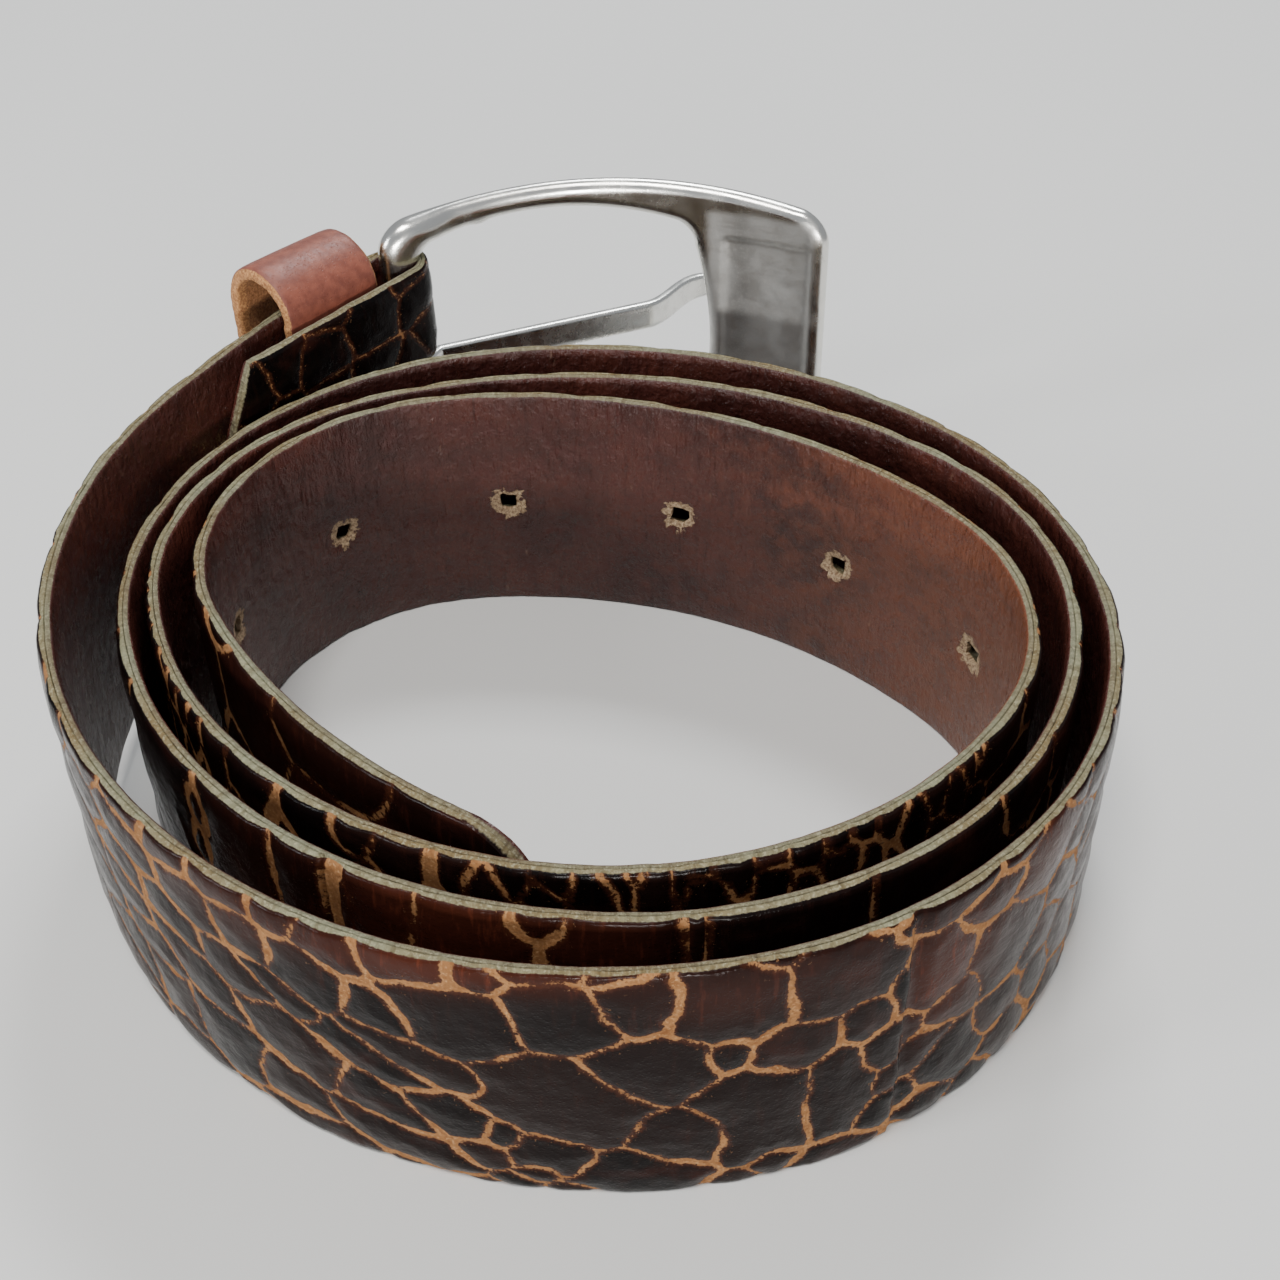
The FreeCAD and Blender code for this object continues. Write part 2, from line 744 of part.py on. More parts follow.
pieces = [strap_skin_tip_end, strap_skin_middle, strap_skin_buckle_end, strap_lining,
          binding_post(), binding_screw(), keeper_loop(),
          staple_wire("keeper_staple", "sizes.staple_wire / 2"), buckle_frame(), prong()]
doc.recompute()

for feature in doc.Objects:
    if "Invalid" in feature.State or "Error" in feature.State:
        raise RuntimeError("%s did not build: %s" % (feature.Name, feature.State))

os.makedirs("parts", exist_ok=True)
whole = FreeCAD.BoundBox()
for piece in pieces:
    piece.Label = piece.Name.removesuffix("_flat")
    if piece.Shape.isNull() or not piece.Shape.isValid():
        raise RuntimeError(piece.Label + " has no valid shape")
    piece.Shape.exportStep(os.path.join("parts", piece.Label + ".step"))
    whole.add(piece.Shape.BoundBox)
    print("%-24s %8.1f mm3, %d solid" % (piece.Label, piece.Shape.Volume,
                                         len(piece.Shape.Solids)))
print("box", whole)
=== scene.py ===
import json
import math
from typing import NamedTuple

import bpy
import numpy as np
from mathutils import Matrix, Vector


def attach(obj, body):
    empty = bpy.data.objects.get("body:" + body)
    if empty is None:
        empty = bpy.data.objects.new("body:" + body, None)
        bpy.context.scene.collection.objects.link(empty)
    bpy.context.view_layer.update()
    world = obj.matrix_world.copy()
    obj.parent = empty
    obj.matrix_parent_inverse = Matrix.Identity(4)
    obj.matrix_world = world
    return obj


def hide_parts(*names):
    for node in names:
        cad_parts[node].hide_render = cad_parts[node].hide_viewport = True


# A coiled two-ply leather belt. The skin is glazed scales with raw tan furrows, the lining is
# smooth red-brown leather. Lengths in this file are millimetres until a mesh is made.

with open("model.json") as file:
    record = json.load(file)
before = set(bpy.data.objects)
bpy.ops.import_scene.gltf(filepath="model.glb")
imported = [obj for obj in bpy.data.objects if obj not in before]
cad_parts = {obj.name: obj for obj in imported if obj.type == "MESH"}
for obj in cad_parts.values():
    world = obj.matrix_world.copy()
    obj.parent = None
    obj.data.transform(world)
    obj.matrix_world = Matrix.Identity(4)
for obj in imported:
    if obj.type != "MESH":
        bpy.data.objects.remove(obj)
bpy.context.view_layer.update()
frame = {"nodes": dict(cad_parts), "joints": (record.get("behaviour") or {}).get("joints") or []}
MM = 0.001

# ---------------------------------------------------------------- the strap's route

STRAP_WIDTH = 35.0
SKIN = 1.2
LINING = 1.1
FOLD_RADIUS = 3.6
TAB_LENGTH = 36.0
TIP_HEADING = 154.0
# (radius, turn to the right in degrees), from the strap's tip to the buckle.
COIL_ARCS = [
    (88, 36), (32, 113), (72, 58), (32, 69), (51, 74), (59, 61), (38, 82), (68, 69),
    (40, 43), (51, 89), (62, 74), (49, 95), (67, 60), (55, 119), (68, 12),
]
TAIL_ARCS = [(68, 53), (60, 65), (180, 14)]
TIP_PANEL_END = 637.0
MIDDLE_PANEL_END = 934.0
FIRST_HOLE = 74.5
HOLE_PITCH = 25.0
HOLE_COUNT = 6
HOLE_RADIUS = 1.8
SLOT_HALF_WIDTH = 3.0
SLOT_REACH = 7.0
TIP_RADIUS = 9.0
TAB_CORNER_RUN = 5.5
TAB_CORNER_RISE = 11.0
BUCKLE_MIDDLE = 26.0
TAIL_CLEARANCE = 0.1

hinge = next(j for j in frame["joints"] if j["name"] == "buckle_swing")
BAR = np.array(hinge["pos_m"][:2]) / MM


class Route:
    """The glue line between the plies, seen from above, as arcs end to end."""

    def __init__(self, arcs, heading):
        # A radius of 0 marks a straight, whose second number is its length.
        self.lengths = np.array([r * math.radians(t) if r else t for r, t in arcs])
        self.curves = np.array([1.0 / r if r else 0.0 for r, t in arcs])
        self.starts = np.concatenate([[0.0], np.cumsum(self.lengths)])
        x, y = 0.0, 0.0
        self.anchors = []
        for length, curve in zip(self.lengths, self.curves):
            self.anchors.append((x, y, heading))
            x, y, heading = self.step(x, y, heading, length, curve)
        self.anchors = np.array(self.anchors)
        self.shift = np.zeros(2)

    @staticmethod
    def step(x, y, heading, travel, curve):
        turned = heading - travel * curve
        bend = np.where(curve == 0, 1.0, curve)
        dx = np.where(curve == 0, travel * np.cos(heading),
                      (np.sin(heading) - np.sin(turned)) / bend)
        dy = np.where(curve == 0, travel * np.sin(heading),
                      (np.cos(turned) - np.cos(heading)) / bend)
        return x + dx, y + dy, turned

    def at(self, s):
        """Points and headings at distances s."""
        s = np.asarray(s, float)
        k = np.clip(np.searchsorted(self.starts, s, side="right") - 1, 0, len(self.lengths) - 1)
        a = self.anchors[k]
        x, y, h = self.step(a[..., 0], a[..., 1], a[..., 2], s - self.starts[k], self.curves[k])
        return x + self.shift[0], y + self.shift[1], h


all_arcs = COIL_ARCS + TAIL_ARCS + [(FOLD_RADIUS, 180), (0, TAB_LENGTH)]
route = Route(all_arcs, math.radians(TIP_HEADING))
FOLD_START = route.starts[len(COIL_ARCS) + len(TAIL_ARCS)]
FOLD_END = route.starts[len(COIL_ARCS) + len(TAIL_ARCS) + 1]
COIL_END = route.starts[len(COIL_ARCS)]
TOTAL = route.starts[-1]
fold_x, fold_y, fold_heading = route.at(FOLD_START)
# The route is hung on the buckle's hinge, which is the centre of the fold.
route.shift = BAR - np.array([fold_x + FOLD_RADIUS * np.sin(fold_heading),
                              fold_y - FOLD_RADIUS * np.cos(fold_heading)])
rise_start = float(route.at(COIL_END)[1]) + LINING + TAIL_CLEARANCE
rise_slope = (BUCKLE_MIDDLE - STRAP_WIDTH / 2) / (BAR[1] - rise_start)


def strap_point(s, z, offset):
    """World points for distance s, height z on the strap and offset to the skin's side."""
    x, y, heading = route.at(s)
    px = x - offset * np.sin(heading)
    py = y + offset * np.cos(heading)
    rise = np.where(s > COIL_END, rise_slope * np.maximum(py - rise_start, 0.0), 0.0)
    return np.stack([px, py, z + rise], -1)


# ---------------------------------------------------------------- noise

LATTICE = 256


def value_noise(x, y, seed):
    """Smooth noise from 0 to 1 with unit cells."""
    table = np.random.default_rng(seed).random((LATTICE, LATTICE))
    xi = np.floor(x).astype(int)
    yi = np.floor(y).astype(int)
    fx = x - xi
    fy = y - yi
    fx = fx * fx * (3 - 2 * fx)
    fy = fy * fy * (3 - 2 * fy)
    a = table[xi % LATTICE, yi % LATTICE]
    b = table[(xi + 1) % LATTICE, yi % LATTICE]
    c = table[xi % LATTICE, (yi + 1) % LATTICE]
    d = table[(xi + 1) % LATTICE, (yi + 1) % LATTICE]
    return a + (b - a) * fx + (c - a) * fy + (a - b - c + d) * fx * fy


def layered(x, y, seed, octaves):
    """Noise from 0 to 1 in several octaves, each half as strong and twice as fine."""
    total = np.zeros(np.broadcast(x, y).shape)
    weight = 0.5
    for octave in range(octaves):
        total = total + weight * value_noise(x * 2 ** octave, y * 2 ** octave, seed + octave)
        weight *= 0.5
    return total / (1 - 0.5 ** octaves)


def ease(low, high, x):
    """A smooth step from 0 at low to 1 at high."""
    t = np.clip((x - low) / (high - low), 0, 1)
    return t * t * (3 - 2 * t)


# ---------------------------------------------------------------- mesh building

SHARP_ANGLE = math.radians(62)


def make_mesh(name, points, quads, attributes):
    """A smooth-shaded mesh object from millimetre points and an array of quads."""
    mesh = bpy.data.meshes.new(name)
    mesh.vertices.add(len(points))
    mesh.vertices.foreach_set("co", (points * MM).astype(np.float32).ravel())
    mesh.loops.add(quads.size)
    mesh.loops.foreach_set("vertex_index", quads.astype(np.int32).ravel())
    mesh.polygons.add(len(quads))
    mesh.polygons.foreach_set("loop_start", np.arange(0, quads.size, 4, dtype=np.int32))
    mesh.polygons.foreach_set("loop_total", np.full(len(quads), 4, np.int32))
    mesh.update(calc_edges=True)
    for key, values in attributes.items():
        kind, field = ("FLOAT_VECTOR", "vector") if values.ndim == 2 else ("FLOAT", "value")
        layer = mesh.attributes.new(key, kind, "POINT")
        layer.data.foreach_set(field, values.astype(np.float32).ravel())
    mesh.validate()
    mesh.polygons.foreach_set("use_smooth", np.ones(len(mesh.polygons), bool))
    mesh.set_sharp_from_angle(angle=SHARP_ANGLE)
    piece = bpy.data.objects.new(name, mesh)
    bpy.context.scene.collection.objects.link(piece)
    return piece


def grid_quads(rows, cols, first=0, flip=False, wrap=False):
    """Quads of a grid whose vertex (i, j) is first + i * cols + j. wrap closes j."""
    i = np.arange(rows - 1)[:, None]
    j = np.arange(cols if wrap else cols - 1)[None, :]
    after = (j + 1) % cols
    a = first + i * cols + j
    b = first + (i + 1) * cols + j
    c = first + (i + 1) * cols + after
    d = first + i * cols + after
    order = (a, d, c, b) if flip else (a, b, c, d)
    return np.stack([q + 0 * a for q in order], -1).reshape(-1, 4)


def ring_quads(rows, cols):
    """Quads of a grid that closes both ways, like a ring of closed sections."""
    first = np.arange(cols)
    last = first + (rows - 1) * cols
    after = (first + 1) % cols
    seam = np.stack([last, last[after], first[after], first], -1)
    return np.concatenate([grid_quads(rows, cols, wrap=True, flip=True), seam])


CORNER_DEPTH = 0.16
CORNER_TURN = 0.6


class Opening(NamedTuple):
    """A punched hole or slot in a ply: a capsule in (s, z) with a torn, slightly square rim."""

    s: float
    z: float
    half_length: float
    radius: float
    rag: float
    seed: int

    def rim(self, s, z):
        """Distance outside the rim, and the nearest rim point."""
        ds = s - self.s
        dz = z - self.z
        core = np.clip(ds, -self.half_length, self.half_length)
        vx = ds - core
        reach = np.maximum(np.hypot(vx, dz), 1e-6)
        angle = np.arctan2(dz, vx)
        ragged = self.rag * (value_noise(angle * 2.2 + 40, core * 0.5 + 9, self.seed) - 0.5)
        square = CORNER_DEPTH * np.cos(4 * angle + CORNER_TURN)
        radius = self.radius + ragged - square
        return reach - radius, self.s + core + vx / reach * radius, self.z + dz / reach * radius


def row_heights(pitch):
    """Heights of the grid's rows, closer together beside the two raw edges."""
    near = np.array([0.0, 0.12, 0.3, 0.6])
    middle = np.linspace(1.0, STRAP_WIDTH - 1.0, int(round((STRAP_WIDTH - 2) / pitch)) + 1)
    return np.concatenate([near, middle, STRAP_WIDTH - near[::-1]])


EDGE_STEPS = 3
# Distance to a hole's rim that stands for "no hole near".
FAR = 9.0
SKIN_ARRIS = 0.45
LINING_ARRIS = 0.30
EDGE_WANDER = 0.28
EDGE_BULGE = 0.08
EDGE_FUZZ = 0.22
RIM_DIP = 0.28
RIM_DIP_REACH = 0.45
GLUE_GAP = 0.02


def ply(start, end, visible, hidden, pitch, openings, trim, relief):
    """A closed ply. visible and hidden are the offsets of its two faces from the glue line.

    trim(s, z) moves s near a cut end, relief(s, z) is the height added to the visible face."""
    cols = int(round((end - start) / pitch)) + 1
    heights = row_heights(pitch)
    rows = len(heights)
    s0 = np.linspace(start, end, cols)[:, None] + 0 * heights[None, :]
    z0 = heights[None, :] + 0 * s0
    s0 = trim(s0, z0)
    side = math.copysign(1.0, visible - hidden)
    kept = np.ones((cols - 1, rows - 1), bool)
    cell_s = (s0[:-1, :-1] + s0[1:, 1:]) / 2
    cell_z = (z0[:-1, :-1] + z0[1:, 1:]) / 2
    for opening in openings:
        kept &= opening.rim(cell_s, cell_z)[0] > 0
    gone = ~kept
    if gone.any():
        touch_gone = np.zeros(s0.shape, bool)
        touch_kept = np.zeros(s0.shape, bool)
        for di in (0, 1):
            for dj in (0, 1):
                touch_gone[di:cols - 1 + di, dj:rows - 1 + dj] |= gone
                touch_kept[di:cols - 1 + di, dj:rows - 1 + dj] |= kept
        border = touch_gone & touch_kept
    rim_reach = np.full(s0.shape, FAR)
    for opening in openings:
        outside, rim_s, rim_z = opening.rim(s0, z0)
        rim_reach = np.minimum(rim_reach, np.abs(outside))
        if gone.any():
            here = border & (np.abs(outside) < 4 * pitch)
            s0 = np.where(here, rim_s, s0)
            z0 = np.where(here, rim_z, z0)
    # Rounded arris along both raw edges, and a fuzzy, slightly uneven edge line.
    from_edge = np.minimum(z0, STRAP_WIDTH - z0)
    arris = LINING_ARRIS if side < 0 else SKIN_ARRIS
    inset = arris - np.sqrt(np.maximum(arris ** 2 - np.maximum(arris - from_edge, 0) ** 2, 0))
    uneven = EDGE_WANDER * (layered(s0 / 3.1, z0 * 0 + side, 71, 4) - 0.5)
    z1 = z0 + uneven * np.exp(-from_edge / 0.5)
    rim_dip = RIM_DIP * np.exp(-(rim_reach / RIM_DIP_REACH) ** 2)
    face = visible + side * (relief(s0, z0) - inset - rim_dip)
    face_points = strap_point(s0, z1, face)
    glue_points = strap_point(s0, z1, hidden + GLUE_GAP * side + 0 * s0)
    points = [face_points.reshape(-1, 3), glue_points.reshape(-1, 3)]
    extra = {"s": [s0.ravel(), s0.ravel()], "z": [z0.ravel(), z0.ravel()],
             "rim": [rim_reach.ravel(), rim_reach.ravel()],
             "raw": [(from_edge < 0.05).astype(float).ravel(), np.ones(s0.size)]}
    count = s0.size
    face_grid = np.arange(count).reshape(cols, rows)
    glue_grid = face_grid + count
    first_edge = 2 * count
    quads = [grid_quads(cols, rows, flip=side < 0)[kept.ravel()],
             grid_quads(cols, rows, count, flip=side > 0)[kept.ravel()]]
    # The raw edges: strips from the visible face to the glue face at the top and bottom.
    for edge_row, turn in ((rows - 1, False), (0, True)):
        strips = [face_grid[:, edge_row]]
        for step in range(1, EDGE_STEPS):
            share = step / EDGE_STEPS
            line_s = s0[:, edge_row]
            fibres = layered(line_s / 0.9, line_s * 0 + step * 3.7, 90 + edge_row % 7, 3) - 0.42
            bulge = EDGE_BULGE + EDGE_FUZZ * fibres
            height = z1[:, edge_row] + (bulge if edge_row else -bulge)
            offset = face[:, edge_row] * (1 - share) + hidden * share
            points.append(strap_point(line_s, height, offset))
            strips.append(first_edge + np.arange(cols))
            first_edge += cols
            extra["s"].append(line_s)
            extra["z"].append(z0[:, edge_row])
            extra["rim"].append(np.full(cols, FAR))
            extra["raw"].append(np.ones(cols))
        strips.append(glue_grid[:, edge_row])
        flip = turn != (side < 0)
        for near, far in zip(strips[:-1], strips[1:]):
            a, b, c, d = near[:-1], near[1:], far[1:], far[:-1]
            order = (a, d, c, b) if flip else (a, b, c, d)
            quads.append(np.stack(order, -1))
        # Small quads that close the two ends of the strip.
        for end_col, opposite in ((0, True), (cols - 1, False)):
            loop = [strip[end_col] for strip in strips]
            if flip != opposite:
                loop = loop[::-1]
            quads.append(np.array([loop]))
    for end_col, opposite in ((0, False), (cols - 1, True)):
        f = face_grid[end_col]
        g = glue_grid[end_col]
        order = (f[:-1], f[1:], g[1:], g[:-1])
        if opposite != (side < 0):
            order = order[::-1]
        quads.append(np.stack(order, -1))
    # The walls of the punched holes.
    if gone.any():
        steps = [((0, 0), (1, 0), (0, -1)), ((1, 0), (1, 1), (1, 0)),
                 ((1, 1), (0, 1), (0, 1)), ((0, 1), (0, 0), (-1, 0))]
        padded = np.pad(kept, 1, constant_values=False)
        for (ai, aj), (bi, bj), (ni, nj) in steps:
            neighbour = padded[1 + ni:cols + ni, 1 + nj:rows + nj]
            ci, cj = np.nonzero(gone & neighbour)
            a = face_grid[ci + ai, cj + aj]
            b = face_grid[ci + bi, cj + bj]
            wall = (a, b, b + count, a + count)
            if side < 0:
                wall = wall[::-1]
            quads.append(np.stack(wall, -1))
    points = np.concatenate(points)
    # The lower raw edge stands on the floor.
    points[:, 2] = np.maximum(points[:, 2], 0.0)
    quads = np.concatenate(quads)
    values = {key: np.concatenate(v) for key, v in extra.items()}
    used = np.zeros(len(points), bool)
    used[quads.ravel()] = True
    number = np.cumsum(used) - 1
    values = {key: v[used] for key, v in values.items()}
    return points[used], number[quads], values


# ---------------------------------------------------------------- the scale pattern

# Tiles listed one by one on the outer turn's front: (distance, height, length, depth, tilt in
# degrees).
LAID_TILES = [
    (942, 31, 11, 12, 0), (953, 30, 12.5, 11, 0), (961.5, 31, 9, 8, 0), (969, 28, 11, 9, -6),
    (971, 36, 13, 3.5, 0), (961, 21, 13.5, 9, 0), (953, 22, 4.5, 4.5, 0), (946, 21, 9, 6, 0),
    (939, 22, 5.5, 6, 0), (950, 12, 12.5, 14, 0), (941, 12, 8, 13, 0), (969.5, 16.5, 15, 12.5, 12),
    (956.5, 9.5, 9.5, 8.5, 0), (962, 3, 12, 7.5, 0), (952, 0, 6, 4, 0), (947.5, 2, 4.5, 3.5, 0),
    (971, 6.5, 7, 6, 20), (976, 9.5, 3.5, 4, 20), (969, -0.5, 5, 3.5, 0), (975, 1, 4.5, 3, 10),
    (941, 0.5, 9, 4.5, 0), (977.5, 34, 5, 4, 0), (984, 34, 9, 5.5, 0), (979.5, 26.5, 14, 8.5, 8),
    (987.5, 25.5, 8, 6.5, 20), (995, 27, 8.5, 7, 15), (992, 33, 8, 5.5, 12), (998, 34, 5.5, 4, 0),
    (1004.5, 34, 7, 4.5, 0), (1003, 28.5, 7.5, 6, 10), (984, 19.5, 14, 4.2, 24),
    (990.5, 18, 14, 3.8, 27), (998, 22, 12, 3.2, 28), (999, 14, 13, 6.5, 28),
    (1001, 6.5, 9, 6, 15), (989.5, 10, 10, 5.5, 24), (980.5, 11, 9, 5, 20), (986, 4.5, 14, 4.5, 22),
    (978, 5.5, 4, 3.5, 15), (972.5, 3, 4, 2.6, 0), (996, 0, 14, 4.5, 12), (1010, 28, 8, 6, 25),
    (1012, 17, 13, 6, 32), (1008, 8, 11, 8, 20), (1013, 34, 5.5, 4, 10), (1021, 30, 9, 5, 28),
    (1024, 20, 11, 5.5, 33), (1018, 8.5, 10, 7, 28), (1031, 28, 9, 6, 25), (1033, 15, 12, 7, 28),
    (1029, 4, 11, 6, 15), (931, 25, 9, 9, 0), (929.5, 34.5, 13, 4, -8), (922.5, 31, 9, 4.5, -12),
    (914, 31, 11, 9, -15), (920, 20.5, 9, 12, -20), (927, 9, 8, 8, -10), (931, 2.5, 7, 5, 0),
    (917, 3.5, 7, 7, -20), (912, 9, 5, 10, -25), (906, 12, 6, 11, -20), (908.5, 21, 5, 9, -20),
    # The second turn's front: tall tiles with upright cracks, one pair double, one forked.
    (570, 26, 20, 26, 0), (589.5, 26, 18, 28, 0), (599, 27, 2.0, 26, 0), (607, 25, 15, 26, 0),
    (614, 35, 5.5, 6.5, 0), (621, 25, 14, 26, 0), (631, 27, 8, 24, 6), (640.5, 27, 7, 24, -5),
    (649.5, 26, 11, 26, 0), (657, 30, 3, 5, 0), (658, 24, 3, 5, 0), (668, 26, 17, 26, 0),
    # The tip's front: one long plain stretch, one short tile and wide cracks.
    (8, 30, 22, 11, -6), (9, 14, 26, 20, 0), (28, 32, 18, 8, 0), (27, 22, 18, 9, 0),
    (45, 28, 15, 18, 0), (57, 27, 9, 20, 0),
]
# Procedural tiles fill the rest: (up to this distance, spacing, length to depth, tilt).
ZONES = [
    (238, 11.5, 1.2, 0), (300, 4.9, 0.42, 0), (335, 8.5, 0.50, 5), (365, 5.2, 0.40, 10),
    (560, 11.0, 0.8, 0), (680, 13.0, 0.55, 0), (800, 10.5, 1.35, -12), (860, 9.5, 1.5, -20),
    (940, 7.0, 1.3, -18), (1026, 7.0, 1.5, 22), (1080, 8.8, 1.6, 24), (1140, 8.0, 1.3, 10),
    (1300, 6.4, 1.0, 0),
]
MIN_SPACING_SHARE = 0.82
TRIES = 9
MARGIN = 3.0
NEAR_TILE = 34.0


def lay_tiles():
    """Scatters tiles between the listed ones, no two closer than their zone's spacing."""
    rng = np.random.default_rng(11)
    tiles = [np.array(tile, float) for tile in LAID_TILES]
    low = -12.0
    for high, spacing, stretch, tilt in ZONES:
        area = (high - low) * (STRAP_WIDTH + 2 * MARGIN)
        for _ in range(int(TRIES * area / spacing ** 2)):
            s = rng.uniform(low, high)
            z = rng.uniform(-MARGIN, STRAP_WIDTH + MARGIN)
            vary = rng.uniform(0.8, 1.25, 2)
            lean = tilt + rng.normal(0, 9)
            length = spacing * math.sqrt(stretch) * vary[0]
            depth = spacing / math.sqrt(stretch) * vary[1]
            near = np.array(tiles)
            near = near[np.abs(near[:, 0] - s) < NEAR_TILE]
            turn = np.radians(lean)
            ds = near[:, 0] - s
            dz = near[:, 1] - z
            u = (ds * math.cos(turn) + dz * math.sin(turn)) / ((length + near[:, 2]) / 2)
            v = (-ds * math.sin(turn) + dz * math.cos(turn)) / ((depth + near[:, 3]) / 2)
            if len(near) == 0 or np.hypot(u, v).min() > MIN_SPACING_SHARE:
                tiles.append(np.array([s, z, length, depth, lean]))
        low = high
    return np.array(tiles)


TILES = lay_tiles()
TILE_SHADE = np.random.default_rng(5).random((len(TILES), 2))
LARGEST_REACH = 26.0
# The furrows' wander: (how far, over what distance, seed, octaves), slow bends and fine jags.
WANDERS = [(1.3, 6.5, 21, 4), (0.9, 1.9, 121, 3)]


def scales(s, z):
    """Distance to the nearest furrow's middle line, and two random values of the tile."""
    ps = s
    pz = z
    for far, over, seed, octaves in WANDERS:
        ps = ps + far * (layered(s / over, z / over, seed, octaves) - 0.5)
        pz = pz + far * (layered(s / over + 31, z / over + 7, seed + 5, octaves) - 0.5)
    ps = ps.ravel()
    pz = pz.ravel()
    reach = np.empty(ps.size)
    shade = np.empty((ps.size, 2))
    order = np.argsort(ps, kind="stable")
    for block in np.array_split(order, max(1, ps.size // 1500)):
        first = ps[block].min()
        last = ps[block].max()
        near = np.nonzero((TILES[:, 0] > first - LARGEST_REACH)
                          & (TILES[:, 0] < last + LARGEST_REACH))[0]
        tile = TILES[near]
        turn = np.radians(tile[:, 4])
        ds = ps[block, None] - tile[None, :, 0]
        dz = pz[block, None] - tile[None, :, 1]
        half_u = tile[:, 2] / 2
        half_v = tile[:, 3] / 2
        u = (ds * np.cos(turn) + dz * np.sin(turn)) / half_u
        v = (-ds * np.sin(turn) + dz * np.cos(turn)) / half_v
        size = np.maximum(np.hypot(u, v), 1e-6)
        gs = (u / half_u * np.cos(turn) - v / half_v * np.sin(turn)) / size
        gz = (u / half_u * np.sin(turn) + v / half_v * np.cos(turn)) / size
        best = np.argsort(size, axis=1)[:, :3]
        row = np.arange(len(block))
        nearest = best[:, 0]
        gaps = []
        for rank in (1, 2):
            other = best[:, rank]
            steep = np.hypot(gs[row, other] - gs[row, nearest], gz[row, other] - gz[row, nearest])
            gaps.append((size[row, other] - size[row, nearest]) / np.maximum(steep, 0.02))
        reach[block] = np.minimum(gaps[0], gaps[1])
        shade[block] = TILE_SHADE[near[nearest]]
    reach = reach.reshape(s.shape)
    # A torn tan line shows in places along each splice.
    for splice in (TIP_PANEL_END, MIDDLE_PANEL_END):
        torn = np.abs(s - splice - 0.3) + 2.2 * ease(0.40, 0.62, layered(z / 5.0, s * 0, 29, 3))
        reach = np.minimum(reach, torn + 0.12)
    return reach, shade[:, 0].reshape(s.shape), shade[:, 1].reshape(s.shape)


# Where the glaze has rubbed to red-brown: distance, height, their spreads and strength.
WARM_PATCHES = [(624, 28, 12, 16, 0.9), (606, 30, 6, 9, 0.5), (648, 26, 8, 10, 0.35),
                (929, 25, 7, 8, 0.9), (914, 31, 6, 6, 0.7), (984, 34, 8, 3, 0.8),
                (972, 35, 10, 2.5, 0.8), (953, 31, 9, 4, 0.45), (1003, 33, 14, 4, 0.5),
                (30, 24, 26, 12, 0.45), (880, 20, 30, 12, 0.35), (780, 16, 50, 12, 0.35)]
# The rubbed patches keep off the first stretch of skin beyond the splice.
COVERED = 4.0
HAIRLINE = 0.13
WORN_WIDE = 0.31
# Single wide cracks across the skin: (distance, spread, half width).
WIDE_CRACKS = [(302, 2.4, 1.0), (322, 2.2, 0.9)]
# The upright cracks on the second turn's front are wider, from here to here.
UPRIGHT_FROM = 560
UPRIGHT_TO = 670
# A ragged bare smear stands just before the first splice.
SMEAR_AT = TIP_PANEL_END - 3.5
# Past the fold the skin has only fine veins.
VEINS_FROM = 1130
VEINS_FULL = 1145
VEIN_SHARE = 0.25


def furrow_width(s, z):
    """Half the width of the furrow at a place: hairline in some places, worn wide in others."""
    drift = layered(s / 5.0 + 3, z / 5.0, 33, 3)
    wide = HAIRLINE + WORN_WIDE * ease(0.38, 0.72, drift)
    worn = ease(0.60, 0.78, layered(s / 9.0, z / 14.0 + 5, 37, 3))
    upright = np.where((s > UPRIGHT_FROM) & (s < UPRIGHT_TO), 0.10, 0.0)
    smear = 2.0 * np.exp(-((s - SMEAR_AT) / 2.2) ** 2)
    smear = smear * ease(0.35, 0.6, layered(s / 1.2, z / 4, 39, 2))
    crack = sum(half * np.exp(-((s - place) / spread) ** 2) for place, spread, half in WIDE_CRACKS)
    tab = VEIN_SHARE + (1 - VEIN_SHARE) * ease(VEINS_FULL, VEINS_FROM, s)
    # The closely packed small tiles have narrow furrows.
    crowd = 1 - 0.35 * ease(232, 242, s) * ease(300, 290, s)
    return (wide + 0.28 * worn + upright) * tab * crowd + smear + crack


SCREW_FROM_FOLD = 29.0
SCREW_SPOTS = (FOLD_START - SCREW_FROM_FOLD, FOLD_END + SCREW_FROM_FOLD)
SCREW_SEAT = 0.35
ROLL_RUN = 3.2
ROLL_DROP = 0.34
LAP_RUN = 2.6
LAP_DROP = 0.42
LAP_RIDGE = 0.16


def edge_roll(z):
    """Both faces lean back over the last few millimetres beside the raw edges."""
    past = np.maximum(np.abs(z - STRAP_WIDTH / 2) - STRAP_WIDTH / 2 + ROLL_RUN, 0)
    return ROLL_DROP * (past / ROLL_RUN) ** 2


def scale_relief(s, z):
    """Raised tiles, sunk furrows, the lap at each splice and the seats under the screw heads."""
    reach, _, _ = scales(s, z)
    beyond = reach - furrow_width(s, z)
    pillow = 0.17 * ease(-0.1, 0.5, beyond) + 0.20 * ease(0.2, 3.0, beyond)
    fibre = 0.10 * (layered(s / 0.9, z / 0.9, 45, 3) - 0.5) * ease(0.3, -0.2, beyond)
    wave = 0.14 * (layered(s / 8.0, z / 8.0, 49, 3) - 0.5)
    height = pillow + fibre + wave - 0.27 - edge_roll(z)
    for splice in (TIP_PANEL_END, MIDDLE_PANEL_END):
        height = height - LAP_DROP * ease(splice - LAP_RUN, splice - 0.1, s) * (s <= splice + 0.01)
        height = height + LAP_RIDGE * ease(splice + 7.0, splice + 0.5, s) * (s >= splice - 0.01)
    for spot in SCREW_SPOTS:
        away = np.hypot(s - spot, z - STRAP_WIDTH / 2)
        height = height - SCREW_SEAT * ease(6.3, 4.7, away)
    return height


